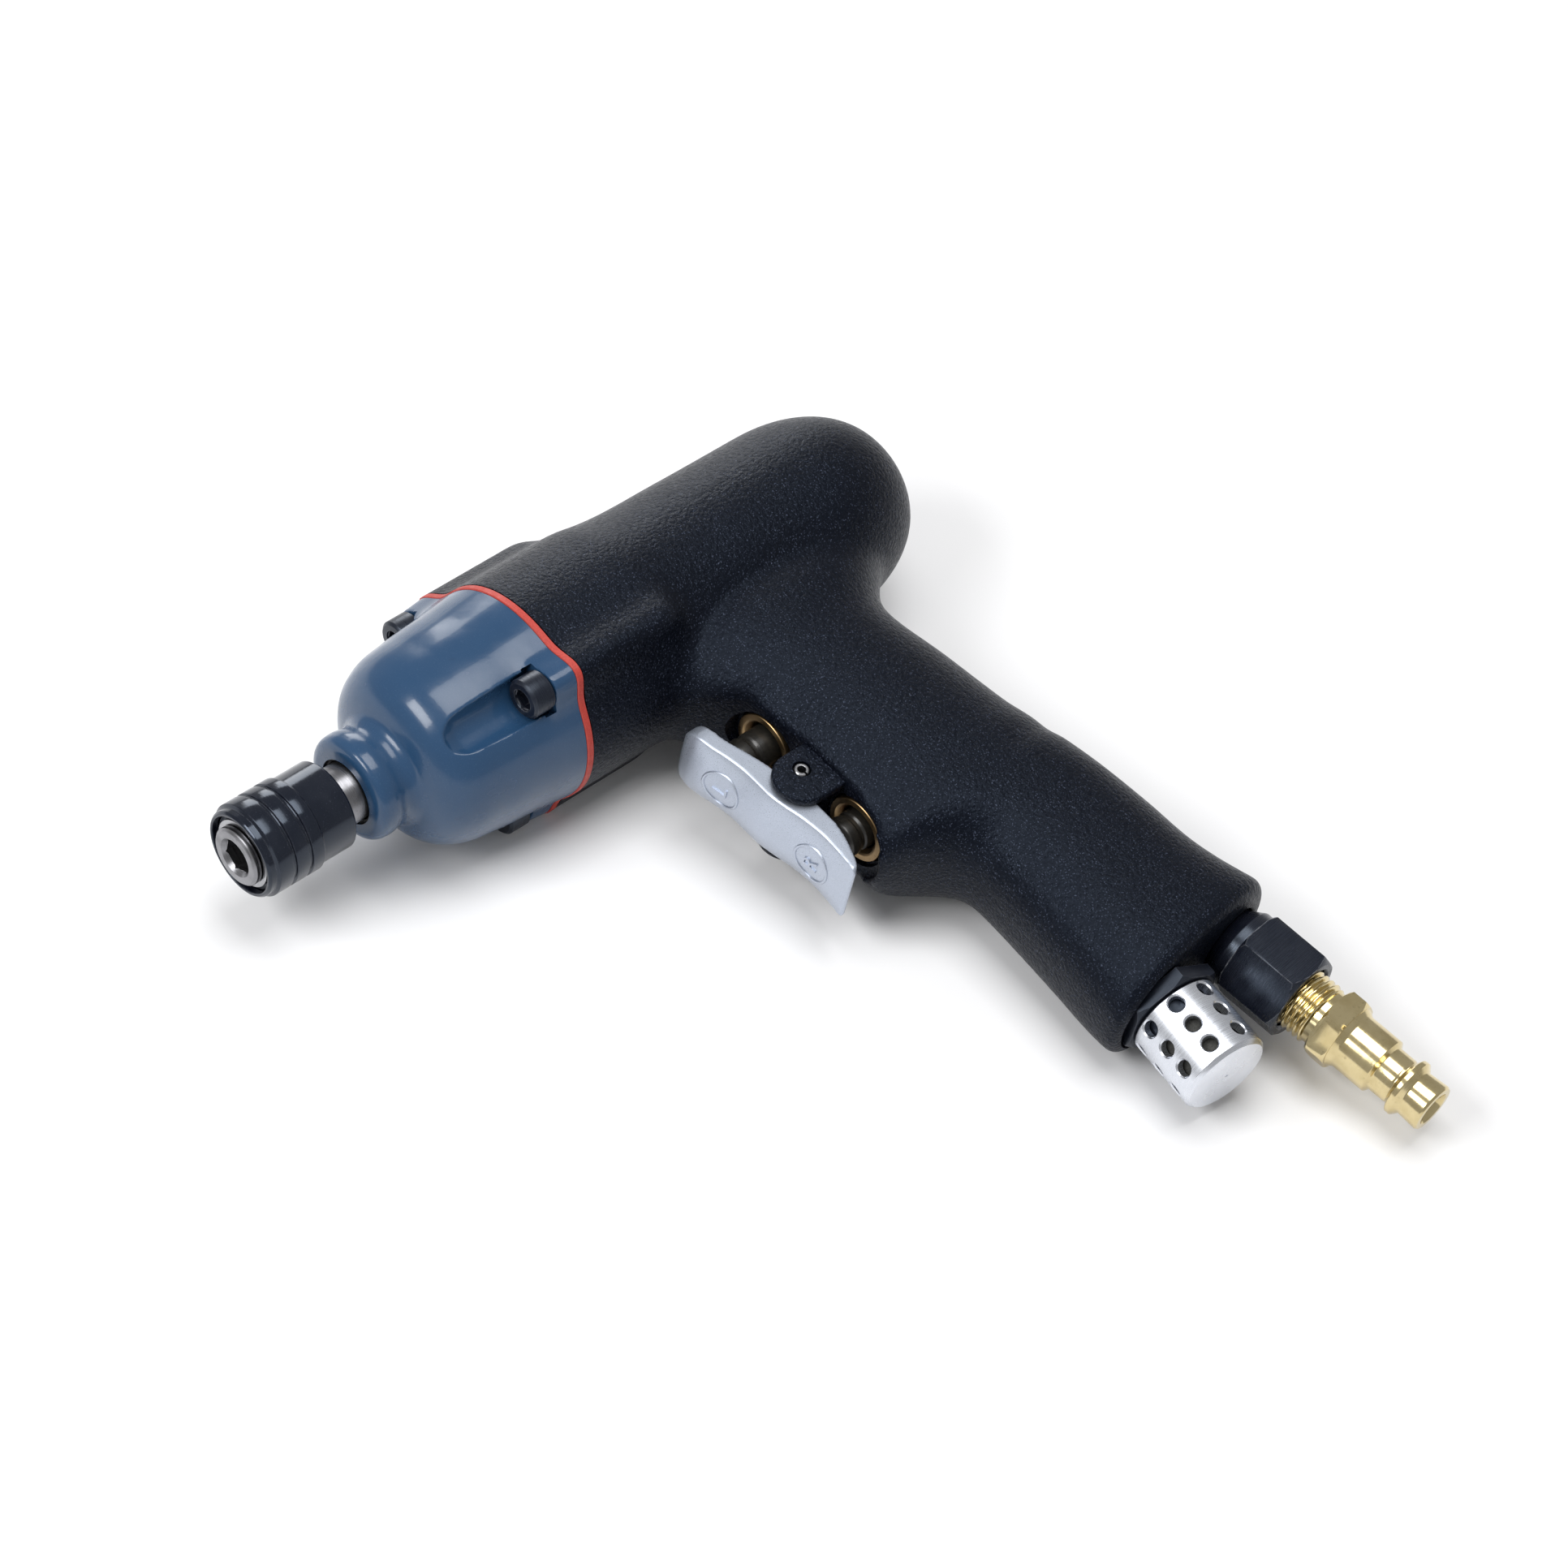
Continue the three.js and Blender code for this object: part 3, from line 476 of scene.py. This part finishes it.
COAT = powder_coat()
PAINT = gloss_paint()
OXIDE = oxide_steel()
OXIDE_SLEEVE = oxide_steel("black_sleeve", (0.09, 0.17), 0.4)
OXIDE_INLET = oxide_steel("black_inlet", (0.2, 0.36), 0.75, INLET["tilt"], (0.25, 8, 8))
OXIDE_SEAT = oxide_steel("black_seat", (0.3, 0.5), 0.3, EXHAUST["tilt"], (0.25, 8, 8))
STEEL = turned_metal("ground_steel", (0.26, 0.26, 0.275), (0.10, 0.10, 0.105), 0.3)
PIN_STEEL = turned_metal("spring_steel", (0.38, 0.385, 0.40), (0.18, 0.18, 0.19), 0.26, relief=0.006)
BRONZE = turned_metal("turned_bronze", (0.36, 0.245, 0.125), (0.17, 0.105, 0.045), 0.33, relief=0.02)
BRASS = turned_metal("bright_brass", (0.70, 0.585, 0.33), (0.50, 0.39, 0.18), 0.15, INLET["tilt"],
                     (0.2, 14, 14))
SILVER = pearl_silver()
ALUMINIUM = satin_aluminium()
GASKET_RED = dull("red_gasket", (0.46, 0.045, 0.03), (0.30, 0.022, 0.016), 0.55, 0.35, 0.05)
RUBBER = dull("black_rubber", (0.009, 0.009, 0.009), (0.02, 0.02, 0.019), 0.62, 0.5, 0.08)
ACETAL = dull("black_acetal", (0.012, 0.011, 0.0095), (0.024, 0.022, 0.018), 0.32, 0.7, 0.015)
LAMINATE = dull("phenolic_laminate", (0.16, 0.075, 0.03), (0.09, 0.04, 0.016), 0.6, 0.6, 0.05)
FELT = dull("grey_felt", (0.055, 0.055, 0.05), (0.02, 0.02, 0.018), 0.95, 0.35, 0.2)
HIDDEN = {
    "housing_black": COAT, "case_blue": PAINT, "gasket_red": GASKET_RED, "black_steel": OXIDE,
    "tool_steel": STEEL, "spring_steel": PIN_STEEL, "bronze": BRONZE, "brass": BRASS,
    "trigger_silver": SILVER, "muffler_aluminium": ALUMINIUM, "valve_black": ACETAL,
    "seal_rubber": RUBBER, "phenolic": LAMINATE, "felt": FELT,
}
for part in RECORD["subparts"]:
    node = frame["nodes"][part["node"]]
    node.data.materials.clear()
    node.data.materials.append(HIDDEN[part["material_slot"]])
    node.data.shade_smooth()
    node.data.set_sharp_from_angle(angle=math.radians(35))


# ---- Shapes that several pieces share ----
def lobed_ring(y, radius, share, grow=0.0, segments=180):
    """A ring round the drive axis that swells at the screw bosses by a share of each lobe."""
    ring = []
    for i in range(segments):
        angle = 360 * i / segments
        reach = radius + grow
        for boss, _, lobe, spread in BOSSES:
            away = abs((angle - boss + 540) % 360 - 180)
            reach += share * lobe * math.exp(-((away / spread) ** 2))
        ring.append((reach * math.cos(math.radians(angle)), y, reach * math.sin(math.radians(angle))))
    return ring


def at_screws(make):
    """What make() gives, once at each of the three screws."""
    return [
        placed(make(), (circle * math.cos(math.radians(a)), 0, circle * math.sin(math.radians(a))))
        for a, circle, _, _ in BOSSES
    ]


# ---- Bit holder ----
def bit_holder():
    front, radius = measured("anvil")[0][1], 6.1
    rear = measured("anvil")[1][1]
    body = lathe("tool_anvil", [
        (0, front), (radius - 0.5, front), (radius, front + 0.5), (radius, -20.5), (5.3, -20.5),
        (5.3, -19.5), (radius, -19.5), (radius, -2.9), (5.4, -2.9), (5.4, -1.9), (radius, -1.9),
        (radius, 27.2), (7.4, 27.2), (7.4, 41), (3.8, 41), (3.8, rear), (0, rear),
    ], 0.2)
    lugs = [box((17.2, 13.2, 4.4), (0, 34.2, 0))]
    combined(body, lugs, "UNION")
    socket = prism(6.35, front - 1, front + 25)
    mouth = lathe("mouth", [(0, front - 1), (4.9, front - 1), (3.4, front + 0.9), (0, front + 0.9)], 0)
    combined(body, [mouth, socket, placed(rod(1.75, 2, 8), (0, -9.5, 0), (90, 0, 0))])
    finished(body, STEEL, "anvil", "anvil", slot="tool_steel")

    rings = (
        ("retaining_ring", 5.6, 7.1, PIN_STEEL, "spring_steel"),
        ("spring_washer", 6.4, 7.9, OXIDE, "black_steel"),
        ("sleeve_stop_ring", 5.65, 7.2, PIN_STEEL, "spring_steel"),
    )
    for node, inner, outer, material, slot_name in rings:
        low, high = measured(node)[0][1], measured(node)[1][1]
        ring = lathe(f"round_{node}", [(inner, low), (outer, low), (outer, high), (inner, high)], 0.12)
        finished(ring, material, "anvil", node, slot=slot_name)

    outer, front = 9.75, measured("chuck_sleeve")[0][1]
    depth = 0.45
    profile = [
        (8.1, front), (outer - 1.1, front), (outer - 0.7, front + 0.5, 0.25),
        (outer - 0.7, -19.35, 0.1), (outer, -18.95, 0.2),
    ]
    for y in (-15.7, -11.9):
        profile += [
            (outer, y, 0.2), (outer - depth, y + 0.15, 0.1),
            (outer - depth, y + 0.75, 0.1), (outer, y + 0.9, 0.2),
        ]
    profile += [
        (outer, -8.4, 0.25), (9.2, -8, 0.25), (9.2, -0.5, 0.3), (8.7, 0, 0.3), (7.5, 0), (7.5, -3.1),
        (6.4, -3.1), (6.4, -3.6), (7, -3.9), (7, -7.7), (6.4, -8), (6.4, -11.8), (8.1, -11.8),
    ]
    sleeve = lathe("tool_sleeve", profile, 0.2, 128)
    finished(sleeve, OXIDE_SLEEVE, "chuck_sleeve", "chuck_sleeve", slot="black_steel")
    ball = lathe("round_lock_ball", [
        (1.6 * math.sin(math.pi * i / 16), -9.5 - 1.6 * math.cos(math.pi * i / 16)) for i in range(17)
    ], 0, 32)
    finished(placed(ball, (0, 0, 4.25)), STEEL, "lock_ball", "lock_ball", slot="tool_steel")


# ---- Hammer case, gasket and screws ----
def hammer_case():
    stations = [
        (CASE_FRONT, 8.9), (4.9, 9.8), (5.8, 10.7), (7.4, 11),
        (13, 11.2), (13.7, 11.8), (14.3, 13.3), (15.2, 15.1),
        (16.4, 16.7), (18, 18.1), (20.5, 19.4), (28, 20.8), (37.5, 21.6), (40.4, 21.9), (CASE_REAR + 2, 22.6),
    ]
    places = [CASE_FRONT, 4.75, 4.9, 5.3, *np.linspace(5.8, CASE_REAR + 2, 90)]
    swell = [(0, 0), (37.6, 0), (38.4, 0.3), (39.4, 0.85), (40.3, 1), (60, 1)]
    skin = skinned("tool_case", [
        lobed_ring(y, through(stations, y)[0], np.interp(y, *zip(*swell))) for y in places
    ])
    channel = lambda: lathe("channel", [
        (0, 16.8), (2.2, 17.4), (3.9, 18.9), (4.6, 21.5), (4.6, SCREW_SEAT), (0, SCREW_SEAT),
    ], 0.8)
    combined(skin, at_screws(channel))
    cast(skin, 0.36, 3)
    hollow = lathe("hollow", [
        (0, 3.5), (6.9, 3.5), (6.9, 5.1), (7.7, 5.1), (7.7, 6.7),
        (6.6, 6.7), (6.6, 7.3), (8.6, 7.3), (8.6, 19.5), (14.4, 19.5),
        (15.6, 22), (15.6, CASE_REAR + 5), (0, CASE_REAR + 5),
    ], 0.2)
    holes = at_screws(lambda: rod(SCREW_HOLE, SCREW_SEAT - 1, CASE_REAR + 5))
    seats = at_screws(lambda: rod(5.2, SCREW_SEAT - 2.2, SCREW_SEAT))
    behind = box((80, 10, 80), (0, CASE_REAR + 5, 0))
    combined(skin, [behind, hollow, *holes, *seats])
    finished(skin, PAINT, "housing", "hammer_case", slot="case_blue")

    low, high = GASKET_FRONT, GASKET_REAR
    sheet = skinned("tool_gasket", [lobed_ring(y, 22.65, 1, grow) for y, grow in (
        (low, -0.2), (low + 0.15, 0), (high - 0.15, 0), (high, -0.2))])
    combined(sheet, [rod(15.6, low - 1, high + 1), *at_screws(lambda: rod(2.8, low - 1, high + 1))])
    finished(sheet, GASKET_RED, "housing", "case_gasket", slot="gasket_red")

    head_front = SCREW_SEAT - SCREW_HEAD - 0.3

    def screw():
        body = lathe("tool_screw", [
            (0, head_front), (SCREW_HEAD_RADIUS - 0.55, head_front), (SCREW_HEAD_RADIUS, head_front + 0.55),
            (SCREW_HEAD_RADIUS, SCREW_SEAT - 0.6), (SCREW_HEAD_RADIUS - 0.3, SCREW_SEAT - 0.3),
            (SCREW_SHANK, SCREW_SEAT - 0.3),
            (SCREW_SHANK, 61), (1.6, 62), (0, 62),
        ], 0.15, 144)
        mouth = lathe("mouth", [
            (0, head_front - 1), (2.7, head_front - 1), (2.2, head_front + 0.4), (0, head_front + 0.4),
        ], 0)
        return combined(body, [prism(4, head_front - 1, head_front + 3), mouth])

    for i, body in enumerate(at_screws(screw)):
        body.name = f"tool_screw_{i + 1}"
        finished(body, OXIDE, "housing", f"case_screw_{i + 1}", slot="black_steel")

    def ragged(turn, r, y):
        """The seal's outer edge is torn a little."""
        tear = noise.noise((math.cos(turn) * 4, math.sin(turn) * 4, y))
        return r + (0.35 * tear if r > 7 else 0)

    seal = lathe("tool_seal", [(6.3, 5.3), (7.5, 5.3), (7.5, 6.4), (6.3, 6.4)], 0.2, 128, ragged)
    finished(seal, RUBBER, "housing", "anvil_seal", slot="seal_rubber")


# ---- Housing: barrel and grip in one casting ----
GRIP = [  # place down the grip, front, back, half width, squareness
    (8, 68, 124, 15, 2.6), (20, 67, 125, 17, 2.3), (24, 68, 121.5, 16.8, 2.2), (28, 70, 118, 16.6, 2.2),
    (32, 72.5, 117.2, 16.4, 2.2), (46, 73.5, 119.6, 16, 2.2), (62, 73.5, 122.1, 15.6, 2.2),
    (66, 74.4, 122.9, 15.4, 2.3),
    (69, 74.8, 123.3, 15.3, 2.4), (72, 75.6, 123.6, 15.2, 2.4), (76, 81, 124.3, 15, 2.6),
    (81, 87, 125, 14.8, 2.6),
    (87, 89, 125.9, 14.6, 2.6), (97, 88.6, 127, 14.5, 2.6), (110, 87.7, 128, 14.5, 2.6),
    (119, 86.9, 130.2, 14.6, 2.6),
    (124, 86.7, 132, 14.4, 2.6),
]
FOOT = 126.8


def grip_ring(x, front, back, half_width, squareness, segments=96):
    ring = []
    for i in range(segments):
        turn = 2 * math.pi * i / segments
        bend = lambda v: math.copysign(abs(v) ** (2 / squareness), v)
        y = (front + back) / 2 + (back - front) / 2 * bend(math.cos(turn))
        ring.append((x - 0.12 * (y - 96) * min(1, x / 120), y, half_width * bend(math.sin(turn))))
    return ring


def housing():
    radii = [  # place along the barrel, radius, share of the lobes
        (40, 22.7, 1), (68, 22.7, 1), (71.5, 22.5, 0.8), (74.5, 22, 0.2), (77, 21.7, 0), (97, 21.1, 0),
        (118, 20.9, 0),
    ]
    rings = []
    for y in np.linspace(44, 118, 75):
        radius, lobe = through(radii, y)
        rings.append(lobed_ring(y, radius, max(0, lobe)))
    for i in range(1, 40):
        turn = math.pi / 2 * i / 40
        rings.append(lobed_ring(118 + 25 * math.sin(turn), 20.9 * math.cos(turn) ** 0.72, 0))
    barrel = skinned("tool_housing", rings)
    stations = [grip_ring(x, *through(GRIP, x)) for x in np.linspace(8, 124, 90)]
    foot = [grip_ring(x, 86.7 + inset, 132 - inset * 1.1, 14.4 - inset, 2.6)
            for x, inset in ((125, 0.15), (125.8, 0.6), (126.4, 1.3), (FOOT, 2.4))]
    combined(barrel, [skinned("grip", stations + foot)], "UNION")
    face = VALVE_FACE[1] - 0.2
    flat = [(23.2, 50), (23.2, 69.6), (28, 73.5), (32, 77), (46, 78.4), (VALVE_X[1], face), (VALVE_X[1], 50)]
    combined(barrel, [plate("flat", flat, -20, 20), placed(rod(9.6, 60, face), (VALVE_X[1], 0, 0))])

    def neck(point):
        """1 where the grip leaves the barrel, fading out round it."""
        ahead = math.exp(-((point.x - 24) / 6.5) ** 2)
        on_side = min(1, max(0, (abs(point.y - 96) - 12) / 8))
        return ahead * (0.35 + 0.65 * on_side) if point.y < 140 else 0

    cast(barrel, 0.9, 3, neck)
    modified(barrel, "SUBSURF", levels=1)

    ears = []
    for side in (-1, 1):
        low, high = sorted((side * EAR_INNER, side * EAR_OUTER))
        x, y = EAR_AT
        outline = [
            (x + EAR_RADIUS * math.cos(a), y + EAR_RADIUS * math.sin(a))
            for a in np.linspace(math.pi, 2 * math.pi, 40)
        ]
        outline += [(x + EAR_RADIUS, face + 1.2), (x - EAR_RADIUS, face + 1.2)]
        ears.append(bevelled(plate("ear", outline, low, high), 0.5, 3))
    combined(barrel, ears, "UNION")
    cuts = [box((90, 10, 90), (0, HOUSING_FRONT - 5, 0)),
            lathe("bore", [(0, 40), (17.9, 40), (17.9, 103), (9, 103), (9, 114), (0, 114)], 0)]
    for x, front in zip(VALVE_X, VALVE_FACE):
        well = lathe("well", [
            (0, 55), (7.9, 55), (7.9, front + 1), (7.3, front + 1), (7.3, 89),
            (5.2, 89), (5.2, 108.5), (3, 108.5),
            (3, 113.5), (0, 113.5),
        ], 0.2, 64)
        cuts.append(placed(well, (x, 0, 0)))
    cuts += [
        box((2 * EAR_RADIUS + 2, 14, 2 * EAR_INNER), (EAR_AT[0], face - 6.7, 0)),
        # The two air ways are shorter here than in the CAD, where the inlet's breaks out behind the neck.
        fitted(lathe("inlet", [
            (0, -55), (3.5, -55), (3.5, -7), (7, -7), (7, -0.8), (8.8, 0.6), (8.8, 9), (0, 9),
        ], 0.2), INLET),
        fitted(lathe("exhaust", [
            (0, -70), (4, -70), (4, -7), (7.6, -7), (7.6, -0.9), (11.5, -0.9), (11.5, 9), (0, 9),
        ], 0.3), EXHAUST),
        placed(rod(PIN_RADIUS + 0.25, -15, 15), (*PIVOT, 0), (90, 0, 0)),
        bevelled(box((7, 8, 3.2), (-22.7 - 5.3, 66, 0)), 0.8, 3),
        *at_screws(lambda: rod(SCREW_HOLE, 40, 63.5)),
    ]
    combined(barrel, cuts)
    finished(barrel, COAT, "housing", "motor_housing", sharp=40, slot="housing_black")


# ---- Trigger and valves ----
TRIGGER = [  # place down the trigger, front, back
    (28.7, 64.6, 66.6), (29.4, 64, 67), (31.6, 63.8, 67.2), (35, 64.2, 67.6), (40, 65.4, 69.1),
    (45, 66, 70.5),
    (50, 66, 71.3), (54, 66.6, 71.9), (59, 67.7, 72.2), (64, 68.2, 71.9), (69, 67.9, 70.4),
    (72.6, 67.4, 68.6),
    (73.4, 67.2, 67.9),
]
CROWN, TRIGGER_MIDDLE = 1.8, 51
TRIGGER_CORNERS = (4.6, 1.2)  # at the end by the barrel, and at the other end


def trigger_section(x):
    """A loop round the trigger. Its front bulges in the middle, and it narrows at the two ends."""
    front, back = through(TRIGGER, x)
    reach = TRIGGER[-1][0] - TRIGGER_MIDDLE
    share = min(1, abs(x - TRIGGER_MIDDLE) / reach)
    corner = TRIGGER_CORNERS[x > TRIGGER_MIDDLE]
    past = max(0, share * reach - reach + corner) / corner
    half = TRIGGER_HALF_WIDTH - corner * (1 - math.sqrt(1 - past**2))
    bulge = CROWN * (1 - share**6)
    loop = [(x, front - bulge * (1 - abs(u) ** 2.4), u * half) for u in np.linspace(-1, 1, 25)]
    return loop + [(x, back, u * half) for u in np.linspace(1, -1, 9)]


def trigger():
    half = TRIGGER_HALF_WIDTH
    places = np.linspace(TRIGGER[0][0], TRIGGER[-1][0], 100)
    bar = skinned("tool_trigger", [trigger_section(x) for x in places])
    boss = lathe("boss", [(0, -half), (3.9, -half), (3.9, half), (0, half)], 0.3)
    boss = placed(boss, (*PIVOT, 0), (90, 0, 0))
    combined(bar, [boss], "UNION")
    cast(bar, 0.26, 4)
    combined(bar, [placed(rod(PIN_RADIUS + 0.3, -15, 15), (*PIVOT, 0), (90, 0, 0))])

    def on_face(x, z, height):
        hit, place, _, _ = bar.ray_cast(Vector((x, 50, z)), Vector((0, 1, 0)))
        return (x, place.y - height, z) if hit else (x, 66, z)

    marks = []
    for letter, x in (("L", 40.8), ("R", 63.8)):
        rings = []
        for i in range(12):
            turn = 2 * math.pi * i / 12
            radius, height = 4.1 + 0.32 * math.cos(turn), 0.32 * math.sin(turn)
            rings.append([on_face(x + radius * math.cos(a), radius * math.sin(a), height)
                          for a in np.linspace(0, 2 * math.pi, 73)[:-1]])
        marks.append(skinned("circle", rings, closed_loop=True))
        text = bpy.data.curves.new("letter", "FONT")
        text.body, text.size, text.extrude, text.align_x, text.align_y = letter, 5, 0.3, "CENTER", "CENTER"
        glyph = bpy.data.objects.new("letter", text)
        bpy.context.scene.collection.objects.link(glyph)
        mesh = bpy.data.meshes.new_from_object(glyph.evaluated_get(bpy.context.evaluated_depsgraph_get()))
        bpy.data.objects.remove(glyph)
        for vertex in mesh.vertices:
            across, upward, height = vertex.co
            vertex.co = on_face(x - upward, across, height)
        glyph = bpy.data.objects.new("letter", mesh)
        bpy.context.scene.collection.objects.link(glyph)
        marks.append(glyph)
    marks = joined(marks[0], marks[1:])
    marks.name = "trigger_marks"
    finished(bar, SILVER, "trigger", "trigger", sharp=50, slot="trigger_silver")
    finished(marks, SILVER, "trigger", sharp=40, slot="trigger_silver")

    low, high = -9.7, 9.7
    pin = lathe("tool_pin", [
        (0.85, low), (1.3, low), (1.6, low + 0.3), (1.6, high - 0.3), (1.3, high), (0.85, high),
    ], 0.08, 48)
    combined(pin, [box((1.6, 30, 0.45), (1.4, 0, 0))])
    finished(placed(pin, (*PIVOT, 0), (90, 0, 0)), PIN_STEEL, "housing", "trigger_pin", slot="spring_steel")


def valves():
    for side, x, face in zip(("left", "right"), VALVE_X, VALVE_FACE):
        ring = lathe(f"tool_bushing_{side}", [
            (4.6, face + 1.2), (5.3, face + 0.25), (5.7, face), (6.85, face), (7, face + 0.2),
            (7, 88.6), (4.6, 88.6),
        ], 0.12)
        finished(placed(ring, (x, 0, 0)), BRONZE, "housing", f"valve_bushing_{side}", slot="bronze")
        tip = measured(f"valve_stem_{side}")[0][1]
        stem = lathe(f"tool_stem_{side}", [
            (0, tip), (1.5, tip + 0.25, 0.6), (3, tip + 1.2, 0.8), (4.1, tip + 2.4, 0.8),
            (4.1, tip + 4.4, 0.3), (3.7, tip + 4.8, 0.2), (3.7, tip + 5.6, 0.2),
            (4.1, tip + 6, 0.3), (4.1, 86), (2.2, 86.5), (2.2, 94.5), (4.4, 95.5), (4.4, 98.8), (0, 98.8),
        ], 0.2, 64)
        stem_node = f"valve_stem_{side}"
        finished(placed(stem, (x, 0, 0)), ACETAL, stem_node, stem_node, slot="valve_black")


# ---- Air fittings ----
def threaded(name, core, crest, pitch, low, high, segments=72, per_turn=10):
    """A rod with a helical thread that fades out at both ends."""
    rings = []
    for y in np.linspace(low, high, int((high - low) / pitch * per_turn)):
        fade = min(1, max(0, (y - low) / pitch), max(0, (high - y) / pitch))
        ring = []
        for i in range(segments):
            wave = 2 * abs(((y / pitch - i / segments) % 1) - 0.5)
            flank = min(1, max(0, wave * 1.5 - 0.25))
            radius = core + (crest - core) * flank * fade
            turn = 2 * math.pi * i / segments
            ring.append((radius * math.cos(turn), y, radius * math.sin(turn)))
        rings.append(ring)
    return skinned(name, rings)


def air_fittings():
    collar = lathe("tool_inlet", [(0, -6), (6.6, -6), (6.6, -0.5), (8.3, 2.4, 0.6), (8.3, 5), (0, 5)], 0.2)
    chamfer = lathe("chamfer", [(0, 4), (8.5, 4), (9.9, 5.3), (9.9, 17), (8.5, 18.2), (0, 18.2)], 0)
    hexagon = combined(prism(17, 4.4, 18.2, 0), [chamfer], "INTERSECT")
    combined(collar, [bevelled(hexagon, 0.25)], "UNION")
    room = lathe("room", [
        (0, -7), (4.6, -7), (4.6, 6), (6.9, 6.5), (6.9, 17.6), (7.5, 18.4), (7.5, 19), (0, 19),
    ], 0)
    combined(collar, [room])
    finished(fitted(collar, INLET), OXIDE_INLET, "housing", "inlet_bushing", slot="black_steel")

    plug = lathe("tool_plug", [
        (0, 22.6), (5.9, 22.6), (5.9, 24.9, 0.1), (6.9, 25, 0.1), (6.9, 29.4, 0.2),
        (5.95, 30.8, 0.8), (5.95, 38.2, 0.2),
        (4.9, 38.9, 0.3), (4.9, 42.5, 0.3), (4.75, 43.1, 0.3), (6.1, 44, 0.25), (6.1, 45, 0.25),
        (4.8, 46.1, 0.4),
        (5.1, 50.4, 0.3), (4.8, 50.9, 0.2), (0, 50.9),
    ], 0.2)
    screw = threaded("thread", 5.75, 6.5, 1.337, 8, 24)
    chamfer = lathe("chamfer", [(0, 24), (7.2, 24.9), (8.1, 25.7), (8.1, 28.7), (7.2, 29.6), (0, 30)], 0)
    nut = bevelled(combined(prism(14, 24.9, 29.6, 0), [chamfer], "INTERSECT"), 0.2)
    combined(plug, [screw, nut], "UNION")
    air_way = lathe("way", [(0, 0), (3.1, 0), (3.1, 50), (3.7, 51), (3.7, 55), (0, 55)], 0)
    combined(plug, [air_way])
    finished(fitted(plug, INLET), BRASS, "housing", "air_plug", slot="brass")

    chamfer = lathe("chamfer", [(0, -1), (11, -1), (11, 1.6), (9.8, 2.5), (0, 2.5)], 0)
    seat = combined(prism(19, -0.6, 2.4, 30), [chamfer], "INTERSECT")
    seat.name = "tool_muffler_seat"
    bevelled(seat, 0.2)
    combined(seat, [rod(7.2, -6.5, 0), rod(7, 1, 6.5)], "UNION")
    combined(seat, [rod(5, -8, 8)])
    finished(fitted(seat, EXHAUST), OXIDE_SEAT, "housing", "muffler_seat", slot="black_steel")

    cup = lathe("tool_muffler_cap", [
        (7.4, 2.7), (9.0, 2.7), (9.25, 3, 0.1), (9.25, 18.2, 0.15), (8.5, 19, 0.15),
        (0.4, 19, 0), (0.4, 17.3, 0), (7.4, 17.3),
    ], 0.15, 128)
    combined(cup, [rod(0.6, 17.6, 18.9)], "UNION")
    vents = []
    for height in (4.9, 10, 15.1):
        for turn in range(0, 360, 45):
            vent = placed(rod(1.6, 5, 9.15, segments=24, flare=0.3), (0, 0, 0), (0, 0, -90))
            vents.append(placed(vent, (0, height, 0), (0, turn + 22.5, 0)))
    combined(cup, vents)
    finished(fitted(cup, EXHAUST), ALUMINIUM, "housing", "muffler_cap", slot="muffler_aluminium")


bit_holder()
hammer_case()
housing()
trigger()
valves()
air_fittings()

# ---- Floor, light and camera ----
floor_finish = Finish("pale_floor", (0.84, 0.84, 0.85), 0.75)
floor_finish.tint(floor_finish.spread(floor_finish.noise(30, 3), 0.3, 0.7, 0, 0.4), (0.88, 0.88, 0.88))
floor = made("floor", [(-3, -3, 0), (3, -3, 0), (3, 3, 0), (-3, 3, 0)], [(0, 1, 2, 3)])
floor.data.materials.append(floor_finish.material)

world = bpy.data.worlds.new("studio")
world.use_nodes = True
world.node_tree.nodes["Background"].inputs["Color"].default_value = (1, 1, 1, 1)
world.node_tree.nodes["Background"].inputs["Strength"].default_value = 0.42
bpy.context.scene.world = world


def softbox(name, at, size, power):
    """An area light that looks at the tool from a place in metres."""
    light = bpy.data.lights.new(name, "AREA")
    light.shape, light.size, light.size_y, light.energy = "RECTANGLE", size[0], size[1], power
    lamp = bpy.data.objects.new(name, light)
    bpy.context.scene.collection.objects.link(lamp)
    lamp.location = at
    lamp.rotation_euler = (-Vector(at)).to_track_quat("-Z", "Y").to_euler()


softbox("overhead", (0, 0.05, 1), (0.6, 0.6), 6)
softbox("key", (-0.17, -0.63, 0.69), (0.5, 0.3), 5)
softbox("rim", (-0.81, 0.5, 0.3), (0.4, 0.4), 2.5)

CAMERA_AT = Vector((429.3, -458.6, 827.8))
CAMERA_RIGHT = Vector((0.66109, 0.73170, 0.16604))
CAMERA_UP = Vector((-0.65713, 0.45782, 0.59882))
turned_by = (TOOL.to_3x3() * (1 / MM))
axes = [turned_by @ v for v in (CAMERA_RIGHT, CAMERA_UP, CAMERA_RIGHT.cross(CAMERA_UP))]
lens = bpy.data.cameras.new("camera")
lens.lens = 126.86
lens.sensor_width = 36
camera = bpy.data.objects.new("camera", lens)
bpy.context.scene.collection.objects.link(camera)
camera.matrix_world = Matrix.Translation(TOOL @ CAMERA_AT) @ Matrix(axes).transposed().to_4x4()
lens.clip_end = 20
bpy.context.scene.camera = camera
bpy.context.scene.view_settings.view_transform = "Standard"
